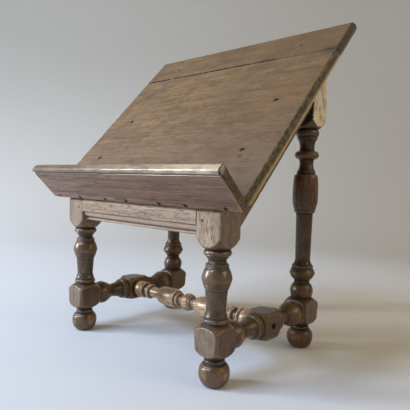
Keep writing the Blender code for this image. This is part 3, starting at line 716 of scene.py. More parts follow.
def sample(stack, scored=(), crest_radius=CORNER):
    """Heights and radii up a stack, with scored lines given as (height, depth)."""
    heights = np.arange(0, tall(stack) + STEP / 2, STEP)
    radii = np.zeros_like(heights)
    base = 0.0
    for height, lower, upper, bulge in stack:
        inside = (heights >= base - STEP / 2) & (heights <= base + height + STEP / 2)
        share = np.clip((heights[inside] - base) / height, 0, 1)
        straight = lower + (upper - lower) * share
        if bulge == "shoulder":
            radii[inside] = lower + (upper - lower) * share ** SHOULDER_CURVE
        elif bulge == "block":
            crest = crest_radius - (lower + upper) / 2
            rise = np.clip(np.minimum(share, 1 - share) / BLOCK_RISE, 0, 1)
            radii[inside] = straight + crest * np.sin(math.pi / 2 * rise)
        else:
            radii[inside] = straight + bulge * 2 * np.sqrt(share * (1 - share))
        base += height
    radii = blur(radii, ARRIS_BLUR)
    for place, depth in scored:
        radii -= depth * np.exp(-((heights - place) / SCORE_WIDTH) ** 2)
    return heights, radii

trial_heights, trial_radii = sample(FOOT + BLOCK + FRONT_STACK + SHOULDER)
print("front leg:", len(trial_heights), "samples")

# %% Keep the points that matter
SLACK = 0.000025
LONG_RUN, SHORT_RUN = 0.003, 0.0008  # between kept points: plain, and where flats begin
FLATS_BEGIN, FLATS_END = 0.46, 0.715  # radii, as shares of the stock

def thin(heights, radii, stock):
    """The fewest points that keep the line within a fortieth of a millimetre."""
    kept = [0]
    for index in range(2, len(heights)):
        last = kept[-1]
        at_flats = stock * FLATS_BEGIN < radii[index] < stock * FLATS_END
        span = slice(last, index + 1)
        chord = np.interp(heights[span], heights[[last, index]], radii[[last, index]])
        run = heights[index] - heights[last]
        if np.abs(chord - radii[span]).max() > SLACK or run > (SHORT_RUN if at_flats else LONG_RUN):
            kept.append(index - 1)
    return [*kept, len(heights) - 1]

print("kept of them:", len(thin(trial_heights, trial_radii, STOCK)))

# %% [markdown]
# ## From round to square
# A leg starts as square stock and the lathe only takes what lies outside its circle, so the blocks
# keep flat faces with curved shoulders. A Boolean of a spun shape with a box gives that, but with
# razor edges. Instead we spin the line and then press each point back to the square if it lies
# outside. A soft minimum rounds the arris where flat and turned meet, and tells us how near each
# point is to it, which is just what the wear needs.

# %% Press spun points to their square stock
SQUARENESS = 26  # higher for sharper corners of the stock
SOFT = 0.0007  # how far an arris is rounded
CORNER_WEAR = 0.0022

def press(points, half):
    """Moves spun points inside a square with worn corners. Gives the points and the arris wear."""
    spun = np.hypot(points[:, 0], points[:, 1])
    turn = np.arctan2(points[:, 1], points[:, 0])
    blunt = np.abs(np.cos(turn)) ** SQUARENESS + np.abs(np.sin(turn)) ** SQUARENESS
    square = half / blunt ** (1 / SQUARENESS)
    rim = np.clip(1 - np.abs(spun - square) / SOFT, 0, 1)
    shaped = np.minimum(spun, square) - rim ** 2 * SOFT / 4
    flat = square < spun
    scale = np.where(spun > 0.0001, shaped / np.maximum(spun, 0.0001), 1)
    points[:, :2] *= scale[:, None]
    to_corner = half - np.minimum(np.abs(points[:, 0]), np.abs(points[:, 1]))
    corner = np.where(flat, np.exp(-(to_corner / CORNER_WEAR) ** 2), 0)
    shield = np.exp(-((spun - square) / SOFT) ** 2)
    return points, np.maximum(corner, shield), flat

corner_of = press(np.array([[STOCK, STOCK, 0.0]]), STOCK / 2)[0][0]
print("a corner of the stock is pressed to", [round(v, 4) for v in corner_of])

# %% Spin a line, press it and paint its marks
SIDES = 128
BLOCK_CREST = 1.31  # a block's turned radius, in halves of its stock
CREST_BLUR = 0.0024
FAT, FATTER = 0.0155, 0.0205  # radii between which a bulb is rubbed more and more
NOWHERE = 1.0  # a height that no piece reaches

def turn_piece(name, stack, half, seed, scored=(), sides=SIDES,
               bare_and_lit=((0, 0), (0, 0), (0, 0)), shaded_above=NOWHERE, head=NOWHERE):
    """A turned piece along Z from z = 0, with its marks painted on.

    bare_and_lit gives heights, and how pale and bare the front and the side faces are there; on
    the front legs the fronts get more than the sides, which paints light on the fronts and shade on
    the sides. Flat fronts above shaded_above get painted shade, and above head there is little wear.
    """
    heights, radii = sample(stack, scored, half * BLOCK_CREST)
    line = [(radii[i], 0, heights[i]) for i in thin(heights, radii, half * 2)]
    piece = draw(name, [(0, 0, heights[0]), *line, (0, 0, heights[-1])])
    spin_round(sides)
    points, arris, flat = press(points_of(piece), half)
    crest = np.interp(points[:, 2], heights, radii - blur(radii, CREST_BLUR))
    crest = np.where(flat, 0, crest)
    swell = np.interp(points[:, 2], heights, np.clip((radii - FAT) / (FATTER - FAT), 0, 1))
    worn = np.maximum(arris, np.clip(crest / 0.0007, 0, 1) * 0.4 + np.where(flat, 0, swell * 0.3))
    lumps = rumple(points, 0.014, seed)
    nicks = np.clip(rumple(points, 0.0045, seed + 5) - 0.25, 0, 1)
    shrink = 0.00012 * (0.5 + 0.5 * lumps) + 0.0009 * nicks * arris
    reach = np.maximum(np.hypot(points[:, 0], points[:, 1]), 0.001)
    points[:, :2] *= (1 - shrink / reach)[:, None]
    set_points(piece, points)
    paint(piece, "worn", worn * (0.75 + 0.45 * lumps) * np.where(points[:, 2] > head, 0.25, 1))
    places, on_front, on_side = bare_and_lit
    faces_front = np.abs(points[:, 1]) > np.abs(points[:, 0])
    front_bare, side_bare = (np.interp(points[:, 2], places, amount) for amount in (on_front, on_side))
    paint(piece, "bare_and_lit", np.where(flat, np.where(faces_front, front_bare, side_bare), 0))
    # Grime in the grooves; flat fronts above shaded_above get painted shade in the same mark.
    paint(piece, "grime", np.where(flat & faces_front & (points[:, 2] > shaded_above), 0.85, -crest / 0.0006))
    return piece

print("lathe ready with", SIDES, "sides")

# %% Fit a piece out: finish, body and CAD node
SMOOTH_BELOW = 42

def dress(piece, finish, slot, *nodes):
    """Smooth shading, its finish, and its place in the frame."""
    pick(piece)
    bpy.ops.object.shade_smooth_by_angle(angle=math.radians(SMOOTH_BELOW))
    piece.data.materials.clear()
    piece.data.materials.append(finish)
    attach(piece, "root")
    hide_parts(*nodes)
    print(*nodes, len(piece.data.polygons), "faces")

print("edges are smooth below", SMOOTH_BELOW, "degrees")

# %% [markdown]
# ## The four legs
# Front and rear legs share foot and block. The front ones stop just under the desk's lower edge,
# and the rear ones climb past a long drum to the upper plank. Each is spun at the origin, moved to
# its corner, and its head is cut along the desk's underside with a bisect, as a joiner would saw
# all four to one slope.

# %% Turn the legs
HANDS = (("left", -1), ("right", 1))
FOOT_LINES = [(0.0272, 0.0005)]
FRONT_LINES = FOOT_LINES + [(0.1315, 0.0007), (0.1345, 0.0007), (0.1372, 0.0005), (0.1585, 0.0008),
                            (0.1738, 0.0009)]
REAR_LINES = FOOT_LINES + [(0.2255, 0.0006), (0.2335, 0.0006)]

def add_leg(name, stack, x, y, seed, scored):
    is_front = stack is FRONT_STACK
    shaft = FOOT + BLOCK + stack + SHOULDER
    head = [(underside(y + STOCK / 2) + 0.004 - tall(shaft), CORNER, CORNER, 0.0)]
    shoulder = tall(shaft) - SHOULDER_HIGH
    block_top = FOOT_HIGH + BLOCK_HIGH
    places = (block_top, block_top + 0.007, shoulder - 0.005, shoulder)
    # The front legs' fronts get more bare_and_lit than their sides: painted light on the fronts,
    # painted shade on the sides. The rear heads are pale on their sides, with painted shade on their
    # fronts.
    if is_front:
        on_front, on_side = (0.42, 0, 0, 0.55 if x < 0 else 0.95), (0, 0, 0, 0.4)
    else:
        on_front, on_side = (0.2, 0, 0, 0), (0.1, 0, 0, 1)
    piece = turn_piece(name, shaft + head, STOCK / 2, seed, scored, bare_and_lit=(places, on_front, on_side),
                       shaded_above=NOWHERE if is_front else shoulder, head=shoulder + 0.01)
    edit_mode()
    move_all((x, y, 0))
    bpy.ops.mesh.bisect(plane_co=(0, y, underside(y)), plane_no=OUT_OF_FACE,
                        clear_outer=True, use_fill=True)
    close_up()
    object_mode()
    dress(piece, leg_finish if is_front else rear_leg_finish, "turned_wood", name)

for hand, side in HANDS:
    add_leg(f"front_{hand}_leg", FRONT_STACK, side * LEG_X, FRONT_Y, side + 3, FRONT_LINES)
    add_leg(f"rear_{hand}_leg", REAR_STACK, side * LEG_X, REAR_Y, side + 8, REAR_LINES)

# %% [markdown]
# ## The stretchers
# The side stretchers run front to back with a square block in the middle, and the cross stretcher
# is tenoned through both blocks. A stretcher is the same on both sides of its middle, so its stack
# is written once, from the middle out, and mirrored by reading it backwards.

# %% Turn the stretchers
SIDE_STOCK = 0.040
SIDE_BLOCK = 0.044
CROSS_STOCK = 0.060  # wider than its turnings, so that no flat is left
STRETCHER_SIDES = 96
SIDE_REACH = (REAR_Y - FRONT_Y) / 2 - STOCK / 2 - GAP
CROSS_REACH = LEG_X - SIDE_STOCK / 2 - GAP
SIDE_HALF = [
    (0.0045, 0.0170, 0.0170, 0.0018),       # two rings beside the block
    (0.0045, 0.0165, 0.0160, 0.0018),
    (0.0230, 0.0160, 0.0118, -0.0012),      # bell
    (0.0020, 0.0130, 0.0130, 0.0),          # fillet
]
pear = SIDE_REACH - SIDE_BLOCK / 2 - tall(SIDE_HALF)
SIDE_HALF += [(pear * 0.55, 0.0126, 0.0196, 0.0012), (pear * 0.45, 0.0196, 0.0165, 0.0008)]
CROSS_HALF = [
    (0.0060, 0.0150, 0.0135, 0.0),          # half of the middle bead
    (0.0030, 0.0120, 0.0120, 0.0),          # fillet
    (0.0110, 0.0115, 0.0110, -0.0024),      # hollow
    (0.0060, 0.0112, 0.0112, 0.0012),       # ring
    (0.0420, 0.0138, 0.0132, 0.0033),       # barrel
    (0.0280, 0.0094, 0.0094, 0.0),          # shaft
    (0.0060, 0.0110, 0.0110, 0.0027),       # ring
    (0.0100, 0.0110, 0.0120, -0.0022),      # hollow
    (0.0060, 0.0120, 0.0120, 0.0030),       # first of a pair of rings
]
CROSS_HALF.append((CROSS_REACH - tall(CROSS_HALF), 0.0125, 0.0115, 0.0030))

def mirrored(half, middle_cut=()):
    """A whole stack from one half, with an optional cut between the two."""
    flipped = [(height, upper, lower, bulge) for height, lower, upper, bulge in reversed(half)]
    return [*flipped, *middle_cut, *half]

side_block = [(SIDE_BLOCK, 0.0170, 0.0170, "block")]
print("side stretcher", round(2 * SIDE_REACH, 4), "cross stretcher", round(2 * CROSS_REACH, 4))

# %% Lay the side stretchers along Y and bore their blocks
BORE = 0.0047
BORE_DEEP = 0.012
BORE_OUT = 0.0205

def lay_down(reach, axis, x):
    """Turns the active piece from Z to another axis, with its middle between the legs."""
    edit_mode()
    move_all((0, 0, -reach))
    turn_all(math.pi / 2, axis)
    move_all((x, MIDDLE_Y, STRETCHER_Z))
    close_up()
    object_mode()

def bore(piece, places, radius, depth, turn, sides):
    """Round holes at these places, cut by one Boolean."""
    drills = []
    for place in places:
        clear_selection()
        bpy.ops.mesh.primitive_cylinder_add(vertices=sides, radius=radius, depth=depth,
                                            location=place, rotation=turn)
        drills.append(bpy.context.object)
    for drill in drills:
        drill.select_set(True)
    if len(drills) > 1:
        bpy.context.view_layer.objects.active = drills[0]
        bpy.ops.object.join()
    cut = piece.modifiers.new("holes", "BOOLEAN")
    cut.object = drills[0]
    pick(piece)
    bpy.ops.object.modifier_apply(modifier=cut.name)
    bpy.data.objects.remove(drills[0])

for hand, side in HANDS:
    name, x = f"{hand}_side_stretcher", side * LEG_X
    stretcher = turn_piece(name, mirrored(SIDE_HALF, side_block), SIDE_STOCK / 2, side + 14,
                           sides=STRETCHER_SIDES)
    lay_down(SIDE_REACH, "X", x)
    bore(stretcher, [(x + side * BORE_OUT, MIDDLE_Y, STRETCHER_Z)], BORE, BORE_DEEP,
         (0, math.pi / 2, 0), 28)
    dress(stretcher, side_finish, "turned_wood", name)

# %% Lay the cross stretcher along X
cross = turn_piece("cross_stretcher", mirrored(CROSS_HALF), CROSS_STOCK / 2, 21, sides=STRETCHER_SIDES)
lay_down(CROSS_REACH, "Y", 0)
dress(cross, cross_finish, "turned_wood", "cross_stretcher")

# %% [markdown]
# ## Pushing a section along
# Rails, planks and the ledge are lengths of one section. The section is drawn as a line in Y and
# Z, closed to a face, and extruded along X in short steps so that there are points to wear. Its
# corners are rounded before it is pushed, because an old board has no sharp corner left.

# %% Round a section's corners and space its points
def rounded(corners, pitch):
    """A closed outline through (y, z, radius) corners, with a point at least every pitch."""
    outline = []
    count = len(corners)
    for index, (y, z, radius) in enumerate(corners):
        here = Vector((y, z))
        before = (Vector(corners[index - 1][:2]) - here).normalized()
        after = (Vector(corners[(index + 1) % count][:2]) - here).normalized()
        half = before.angle(after) / 2
        back = radius / math.tan(half)
        start, end = here + before * back, here + after * back
        bends = 1 if radius < 0.0002 else 4 if radius < 0.003 else 8
        for bend in range(bends + 1):
            share = bend / bends
            arc = start.lerp(here, share).lerp(here.lerp(end, share), share)
            outline.append(arc)
    spaced = []
    for here, there in zip(outline, outline[1:] + outline[:1]):
        steps = max(1, math.ceil((there - here).length / pitch))
        spaced += [here.lerp(there, step / steps) for step in range(steps)]
    return [tuple(point) for point in spaced]

trial = rounded([(0, 0, 0.002), (0.3, 0, 0.002), (0.3, -PLANK, 0.002), (0, -PLANK, 0.002)], 0.006)
print("a rounded plank has", len(trial), "points")

# %% Find where an outline stands out
def edge_marks(outline, width=0.0022):
    """How far each point of an outline stands out of the line through its neighbours."""
    line = np.array(outline)
    length = np.hypot(*(np.roll(line, -1, 0) - line).T)
    run = np.concatenate([[0], np.cumsum(length)])
    fine = np.arange(0, run[-1], STEP)
    dense = [np.interp(fine, run, np.append(line[:, axis], line[0, axis])) for axis in (0, 1)]
    smooth = [blur(values, width, "wrap") for values in dense]
    along = [np.gradient(s) for s in smooth]
    area = np.sum(dense[0] * np.roll(dense[1], -1) - dense[1] * np.roll(dense[0], -1))
    turn = 1 if area > 0 else -1
    size = np.maximum(np.hypot(*along), 1e-9)
    out = turn * ((dense[0] - smooth[0]) * along[1] - (dense[1] - smooth[1]) * along[0]) / size
    return np.stack(dense, 1), out

print("its corners stand out by", round(edge_marks(trial)[1].max() * 1000, 2), "mm")

# %% Push the section and soften its ends
def evenly(low, high, pitch):
    count = max(1, round((high - low) / pitch))
    return [low + (high - low) * index / count for index in range(count + 1)]

def push(name, outline, stations, end_round):
    """A length of this (y, z) outline along X through the stations, with its ends rounded."""
    piece = draw(name, [(stations[0], y, z) for y, z in outline])
    select_points()
    bpy.ops.mesh.edge_face_add()
    for here, there in zip(stations, stations[1:]):
        bpy.ops.mesh.extrude_region_move(TRANSFORM_OT_translate={"value": (there - here, 0, 0)})
    close_up()
    select_points("DESELECT")
    object_mode()
    ends = (min(stations), max(stations))
    for edge in piece.data.edges:
        xs = [piece.data.vertices[index].co.x for index in edge.vertices]
        edge.select = any(abs(xs[0] - end) < 1e-6 and abs(xs[1] - end) < 1e-6 for end in ends)
    edit_mode()
    bpy.ops.mesh.select_mode(type="EDGE")
    bpy.ops.mesh.bevel(offset=end_round, segments=3, affect="EDGES", clamp_overlap=True)
    bpy.ops.mesh.select_mode(type="VERT")
    close_up()
    object_mode()
    return piece

print("stations along a plank:", len(evenly(-HALF_DESK, HALF_DESK, 0.005)))

# %% Wear a length and ease its corners
STANDS_OUT = 0.0006  # an outline's point this far out is fully worn

def weather(piece, outline, ends, seed, chip=0.0007, end_wear=0.0025):
    """Takes a little wood off, chips the arrises, and paints their wear and the grooves' grime."""
    dense, out = edge_marks(outline)
    tree = kdtree.KDTree(len(dense))
    for index, (y, z) in enumerate(dense):
        tree.insert((0, y, z), index)
    tree.balance()
    points = points_of(piece)
    stand = np.array([out[tree.find((0, y, z))[1]] for _, y, z in points])
    to_end = np.minimum(points[:, 0] - ends[0], ends[1] - points[:, 0])
    end_edge = np.exp(-(np.clip(to_end, 0, None) / end_wear) ** 2)
    ridge = np.clip(stand / STANDS_OUT, 0, 1)
    worn = np.maximum(ridge, end_edge * (to_end > 0.0002))
    lumps = rumple(points, 0.03, seed)
    nicks = np.clip(rumple(points, 0.006, seed + 4) - 0.2, 0, 1)
    normals = np.empty(len(points) * 3)
    piece.data.vertices.foreach_get("normal", normals)
    depth = 0.00016 * (0.5 + 0.5 * lumps) + chip * nicks * np.maximum(ridge, end_edge)
    set_points(piece, points - normals.reshape(-1, 3) * depth[:, None])
    paint(piece, "worn", worn * (0.75 + 0.5 * lumps))
    paint(piece, "grime", -stand / STANDS_OUT)

def ease_corner(piece, x, place, inward, axis, radius):
    """Rounds off one corner of a flat board, at this x and at this place on another axis."""
    points = points_of(piece)
    hand = math.copysign(1, x)
    out_x = (points[:, 0] - x) * hand + radius
    out_other = (place - points[:, axis]) * inward + radius
    reach = np.maximum(np.hypot(out_x, out_other), 1e-9)
    keep = np.where((out_x > 0) & (out_other > 0) & (reach > radius), radius / reach, 1)
    points[:, 0] = x - hand * (radius - out_x * keep)
    points[:, axis] = place + inward * (radius - out_other * keep)
    set_points(piece, points)

print("wear starts where an outline stands out, in full from", STANDS_OUT)

# %% [markdown]
# ## The rails
# The front rail carries the best moulding of the frame: a plain band, a quirk, an ovolo and a
# bead along its lower edge. Its tenons are hidden in the legs, so this one stops at their faces.
# The side and rear rails are plain, and only lie under the desk.

# %% The front rail
INNER_X = LEG_X - STOCK / 2 - GAP
RAIL_THICK = 0.022
RAIL_DEEP = 0.0319
BAND_HIGH = 0.0174
QUIRK_IN = 0.0035
OVOLO_IN, OVOLO_HIGH = 0.0055, 0.0085
BEAD = 0.0022
BEAD_IN = 0.0101

def front_rail_outline():
    """A plain band over a quirk, an ovolo and a bead, drawn down the front and up the back."""
    front, back = FRONT_FACE, FRONT_FACE + RAIL_THICK
    bottom, band = FRONT_TOP - RAIL_DEEP, FRONT_TOP - BAND_HIGH
    ovolo = [(front + QUIRK_IN + OVOLO_IN * (1 - math.cos(a)), band - OVOLO_HIGH * math.sin(a))
             for a in np.linspace(0, math.pi / 2, 10)]
    bead = [(front + BEAD_IN + BEAD * math.cos(a), bottom + BEAD + BEAD * math.sin(a))
            for a in np.radians(np.linspace(110, 270, 10))]
    foot = [(y, bottom) for y in np.linspace(front + 0.0125, back - 0.001, 4)]
    rear = [(back, z) for z in np.linspace(bottom + 0.001, underside(back) - 0.0006, 12)]
    top = [(y, underside(y)) for y in np.linspace(back - 0.0007, front + 0.0009, 6)]
    face = [(front, z) for z in np.linspace(underside(front) - 0.0012, band + 0.0006, 8)]
    return [*ovolo, *bead, *foot, *rear, *top, *face, (front + 0.0006, band)]

def add_length(name, outline, low, high, pitch, end_round, seed, *wear):
    """A length of this outline from one x to another, worn."""
    piece = push(name, outline, evenly(low, high, pitch), end_round)
    weather(piece, outline, (low, high), seed, *wear)
    return piece

front_rail = add_length("front_rail", front_rail_outline(), -INNER_X, INNER_X, 0.004, 0.0003, 31,
                        0.0006, 0.001)
below_top = FRONT_TOP - points_of(front_rail)[:, 2]
above_bead = below_top < RAIL_DEEP - 0.0034
paint(front_rail, "moulded", (below_top - BAND_HIGH - 0.0002) / 0.0008 * above_bead)
dress(front_rail, front_rail_finish, "rail_wood", "front_rail")

# %% The side rails and the rear rail
SIDE_RAIL_THICK = 0.026
SIDE_RAIL_INSET = 0.015
SIDE_RAIL_DROP = 0.0445 / math.cos(SLOPE)
REAR_RAIL_INSET = 0.002
REAR_RAIL_DEEP = 0.050

low, high = FRONT_Y + STOCK / 2 + GAP, REAR_Y - STOCK / 2 - GAP
side_line = rounded([(low, underside(low), 0.0005), (high, underside(high), 0.0005),
                     (high, underside(high) - SIDE_RAIL_DROP, 0.0008),
                     (low, underside(low) - SIDE_RAIL_DROP, 0.0008)], 0.006)
for hand, side in HANDS:
    name, x = f"{hand}_side_rail", side * (LEG_X + STOCK / 2 - SIDE_RAIL_INSET)
    rail = add_length(name, side_line, x - SIDE_RAIL_THICK / 2, x + SIDE_RAIL_THICK / 2,
                      0.004, 0.0014, side + 41)
    dress(rail, side_rail_finish, "desk_wood", name)

back = REAR_Y + STOCK / 2 - REAR_RAIL_INSET
front = back - RAIL_THICK
foot = underside(front) - REAR_RAIL_DEEP
rear_line = rounded([(front, underside(front), 0.0006), (back, underside(back), 0.0006),
                     (back, foot, 0.0014), (front, foot, 0.0014)], 0.005)
rear_rail = add_length("rear_rail", rear_line, -INNER_X, INNER_X, 0.006, 0.0004, 47)
dress(rear_rail, rear_rail_finish, "desk_wood", "rear_rail")

# %% [markdown]
# ## The desk
# Two oak planks make the desk, with the joint showing as a thin broken line. Each is pushed along
# X in the desk's own flat frame, has its nail holes cut there, and is then tipped up to the slope
# about the line where the ledge's face meets the desk.

# %% Helpers: nail holes and tipping up to the slope
def cut_nail_holes(piece, places, turn=(0, 0, 0)):
    """Round recesses for nail heads, at these places on the piece's face."""
    bore(piece, places, NAIL_HEAD + 0.0002, 2 * NAIL_DEEP, turn, 20)

def tip_up(piece, angle=SLOPE, by=DESK_ORIGIN):
    """Turns a piece about X at the origin, and carries it to its place."""
    pick(piece)
    edit_mode()
    turn_all(-angle, "X")
    move_all(by)
    object_mode()

print("nail holes are", round(NAIL_DEEP * 1000, 2), "mm deep")

# %% The two planks
lower_end = (LEDGE_THICK + GAP) / math.cos(LEAN) + LEDGE_DROP * math.tan(LEAN)
level_cut = PLANK / math.tan(SLOPE)
blunt = 0.003
top_end = DESK_LENGTH + level_cut - blunt / math.tan(SLOPE) - 0.0006
END_ROUND = 0.0024
near_end = [0, *[END_ROUND + 0.0016 * step for step in range(1, 6)]]
desk_stations = sorted([*evenly(-HALF_DESK, HALF_DESK, 0.005)[3:-3],
                        *[side * (HALF_DESK - step) for _, side in HANDS for step in near_end]])

def add_plank(name, corners, seed, eased):
    outline = rounded(corners, 0.0055)
    piece = push(name, outline, desk_stations, END_ROUND)
    weather(piece, outline, (-HALF_DESK, HALF_DESK), seed, 0.0012, 0.003)
    for x, place, inward, radius in eased:
        ease_corner(piece, x, place, inward, 1, radius)
    cut_nail_holes(piece, [(*on_desk(node), 0) for node in PLANK_NAILS[name]])
    tip_up(piece)
    dress(piece, plank_finish, "desk_wood", name)

below, above = JOINT_LINE - GAP / 2, JOINT_LINE + GAP / 2
add_plank("main_plank", [
    (lower_end, 0, 0.0012), (below, 0, 0.0012), (below, -PLANK, 0.0008),
    (lower_end - PLANK * math.tan(LEAN), -PLANK, 0.0012)], 52,
    [(HALF_DESK, lower_end, 1, 0.007), (-HALF_DESK, lower_end, 1, 0.003)])
add_plank("top_plank", [
    (above, 0, 0.0012), (DESK_LENGTH, 0, 0.0016), (top_end, blunt - PLANK, 0.0016),
    (top_end, -PLANK, 0.0012), (above, -PLANK, 0.0008)], 57,
    [(HALF_DESK, top_end, -1, 0.006), (-HALF_DESK, top_end, -1, 0.004)])

# %% [markdown]
# ## The book ledge
# The ledge is nailed to the planks' lower end and leans in a little, so that a book's edge sits in
# a trough. Its face has a plain lower part, a small fillet, a quirk and a fat nosing, worn by wrists,
# with a painted highlight growing towards its right end and painted darker towards its left. The
# outline is drawn in finer points than the CAD one, in the ledge's own frame.

# %% The ledge
LEDGE_FACE = 0.055
FILLET_HIGH = 0.0028
QUIRK_HIGH = 0.0008

def ledge_outline():
    """From the top of the nosing down the front, along the foot and up the inner face."""
    quirk = LEDGE_FACE + FILLET_HIGH + QUIRK_HIGH
    nose = LEDGE_HIGH - quirk
    swell = [(nose / 2 * (1 + math.cos(a)), LEDGE_HIGH - nose / 2 + nose / 2 * math.sin(a))
             for a in np.radians(np.linspace(90, 225, 18))]
    face = [(0.0016, quirk), (0.0013, quirk - 0.0005), (0.0007, quirk - 0.0009),
            (0.0006, quirk - 0.0014), (0.0006, LEDGE_FACE + 0.0013), (0.0005, LEDGE_FACE + 0.0006),
            (0.0001, LEDGE_FACE + 0.0001)]
    face += [(0.0, z) for z in np.linspace(LEDGE_FACE - 0.0005, 0.0016, 14)]
    foot = [(0.0004, 0.0006), (0.0013, 0.0)] + [(y, 0.0) for y in np.linspace(0.004, 0.0118, 3)]
    inner = [(0.0127, 0.0004), (LEDGE_THICK, 0.0014)]
    inner += [(LEDGE_THICK, z) for z in np.linspace(0.006, LEDGE_HIGH - 0.0026, 14)]
    inner += [(0.0126, LEDGE_HIGH - 0.0010), (0.0114, LEDGE_HIGH - 0.0001), (0.0080, LEDGE_HIGH)]
    return swell + face + foot + inner

ledge_line = ledge_outline()
ledge = push("book_ledge", ledge_line, desk_stations, 0.0018)
weather(ledge, ledge_line, (-HALF_DESK, HALF_DESK), 63, 0.0014, 0.003)
for side, place, inward, radius in ((-1, LEDGE_HIGH, -1, 0.0045), (1, LEDGE_HIGH, -1, 0.004),
                                    (-1, 0, 1, 0.004), (1, 0, 1, 0.003)):
    ease_corner(ledge, side * HALF_DESK, place, inward, 2, radius)
cut_nail_holes(ledge, [(middle(node).x, 0, NAIL_RISE) for node in LEDGE_NAILS], (math.pi / 2, 0, 0))
tip_up(ledge, -LEAN, (0, 0, -LEDGE_DROP))
tip_up(ledge)
dress(ledge, book_ledge_finish, "ledge_wood", "book_ledge")

# %% [markdown]
# ## Nails and pegs
# A forged nail's head is a few hammer blows: an uneven little pyramid. One could be copied to every
# place, but no two are alike, so each is spun as a low dome with few sides and pressed out of true
# by its own noise. Pegs are whittled: an eight-sided stub with eased edges, turned a little in its
# hole.

# %% Forge the nail heads
def forge(name, seed):
    """A nail along Z with its head's top at z = 0."""
    line = [(0, 0, -0.006), (0.0012, 0, -0.006), (0.0012, 0, -0.0012), (0.0025, 0, -0.0010),
            (NAIL_HEAD, 0, -0.0007), (0.0017, 0, -0.0002), (0.0006, 0, 0.0), (0, 0, 0.0)]
    piece = draw(name, line)
    spin_round(14)
    points = points_of(piece)
    points[:, :2] *= 1 - 0.12 * np.abs(rumple(points, 0.002, seed))[:, None]
    set_points(piece, points)
    return piece

def drive_in(name, turns, seed):
    piece = forge(name, seed)
    for angle, by in turns:
        tip_up(piece, angle, by)
    dress(piece, waxed_iron if name == "top_plank_right_nail" else nail_iron, "iron", name)

for index, name in enumerate(PLANK_NAILS["main_plank"] + PLANK_NAILS["top_plank"]):
    x, y = on_desk(name)
    drive_in(name, [(0, (x, y, -NAIL_SINK)), (SLOPE, DESK_ORIGIN)], index)
for index, name in enumerate(LEDGE_NAILS):
    drive_in(name, [(math.pi / 2, (middle(name).x, NAIL_SINK, NAIL_RISE)), (-LEAN, (0, 0, -LEDGE_DROP)),
                    (SLOPE, DESK_ORIGIN)], index + 9)

# %% Whittle the pegs
PEG_RADIUS = 0.0026
PEG_LONG = 0.008

def add_peg(name):
    centre = middle(name)
    low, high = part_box(name)
    y = low[1] + PEG_LONG / 2 if centre.y < 0 else high[1] - PEG_LONG / 2
    clear_selection()
    bpy.ops.mesh.primitive_cylinder_add(vertices=8, radius=PEG_RADIUS, depth=PEG_LONG,
                                        location=(centre.x, y, centre.z),
                                        rotation=(math.pi / 2, 0.3, 0))
    piece = name_new(name)
    bpy.ops.object.transform_apply(location=True, rotation=True, scale=True)
    edit_mode()
    select_points()
    bpy.ops.mesh.bevel(offset=0.0004, segments=2, affect="EDGES")
    close_up()
    object_mode()
    dress(piece, peg_wood, "peg_wood", name)

for place in ("front", "rear"):
    for hand, _ in HANDS:
        add_peg(f"{place}_rail_{hand}_peg")

# %% [markdown]
# ## The studio
# The photograph has a pale grey sweep of paper and soft daylight from the left. Our paper is a wide
# shallow bowl: flat under the lectern and rising all round, so there is no horizon from any side.
# Its colour carries painted shade: darker up the wall, darker to the right, and darker still beside
# the lamps, so that it doesn't burn out in the side views. Two area lights stand for the window, a
# large one high up and a small bright pane lower down that gives the turnings their highlights. A
# weak one on the right stands for the room, and the world fills in the rest.

# %% The paper sweep
FLAT_FLOOR = 1.3
SWEEP = 1.5
WALL = FLAT_FLOOR + SWEEP
LAMP_CORNER = 1.6

bowl_line = [(0, 0, 0), *[(r, 0, 0) for r in np.linspace(0.2, FLAT_FLOOR, 8)]]
bowl_line += [(FLAT_FLOOR + SWEEP * math.sin(a), 0, SWEEP * (1 - math.cos(a)))
              for a in np.radians(np.linspace(6, 90, 15))]
bowl_line += [(WALL, 0, 2.0), (WALL, 0, 2.6)]
bowl = draw("paper_sweep", bowl_line)
spin_round(96)
bpy.ops.object.shade_smooth()

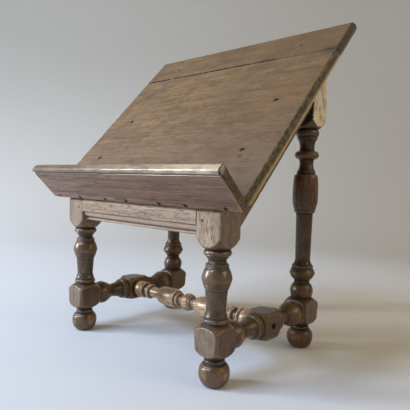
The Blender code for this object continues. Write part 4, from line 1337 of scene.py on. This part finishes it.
def paper_finish():
    paper = Finish("pale_paper")
    mottle = paper.cloud((2, 2, 2), 3, 0.5)
    across, deep, up = paper.parts()
    far = across * across + deep * deep + up * up
    floor_tone = paper.mix(mottle, (208, 209, 210), (215, 216, 217))
    # Painted shade: the wall is darker towards its top.
    wall_tone = paper.mix(up.over(0.1, 1.3), (224, 224, 220), (196, 194, 187))
    paper.ground(far.over(0.2, 4.2), floor_tone, wall_tone)
    # Painted shade: darker to the right.
    paper.lay((across * 0.73 + deep * 0.68).over(-1.2, 1.6) * far.over(0.1, 1.6), (183, 177, 166))
    # Painted shade beside the lamps.
    beside, before = across + LAMP_CORNER, deep + LAMP_CORNER
    paper.lay((beside * beside + before * before).over(2.4, 0.3), (138, 139, 141))
    return paper.wear({"Roughness": 0.85})

bowl.data.materials.append(paper_finish())
print("sweep:", len(bowl.data.polygons), "faces")

# %% The lights
def add_window(name, place, aim, size, power, colour):
    clear_selection()
    bpy.ops.object.light_add(type="AREA", location=place)
    lamp = name_new(name)
    lamp.rotation_mode = "QUATERNION"
    lamp.rotation_quaternion = (Vector(aim) - Vector(place)).to_track_quat("-Z", "Y")
    lamp.data.shape = "RECTANGLE"
    lamp.data.size, lamp.data.size_y = size
    lamp.data.energy = power
    lamp.data.color = colour
    lamp.visible_camera = False

add_window("window_left", (-0.75, -1.70, 2.10), (-1.0, 0.5, 0.1), (1.3, 1.3), 67, (0.50, 0.68, 1.0))
add_window("bright_pane", (-1.74, -1.64, 0.92), (0, 0, 0.25), (0.40, 0.74), 46, (0.84, 0.90, 1.0))
add_window("room_right", (1.45, 0.45, 0.90), (0, 0, 0.20), (0.8, 0.6), 4.5, (1.0, 0.86, 0.66))
world = bpy.data.worlds.new("soft_room")
bpy.context.scene.world = world
world.use_nodes = True
room = world.node_tree.nodes["Background"].inputs
room["Color"].default_value = (1.0, 0.75, 0.36, 1)
room["Strength"].default_value = 0.46
bpy.context.scene.view_settings.view_transform = "Standard"

# %% [markdown]
# ## Done
# Every piece has its finish, and the paper sweep and the lights are in place.
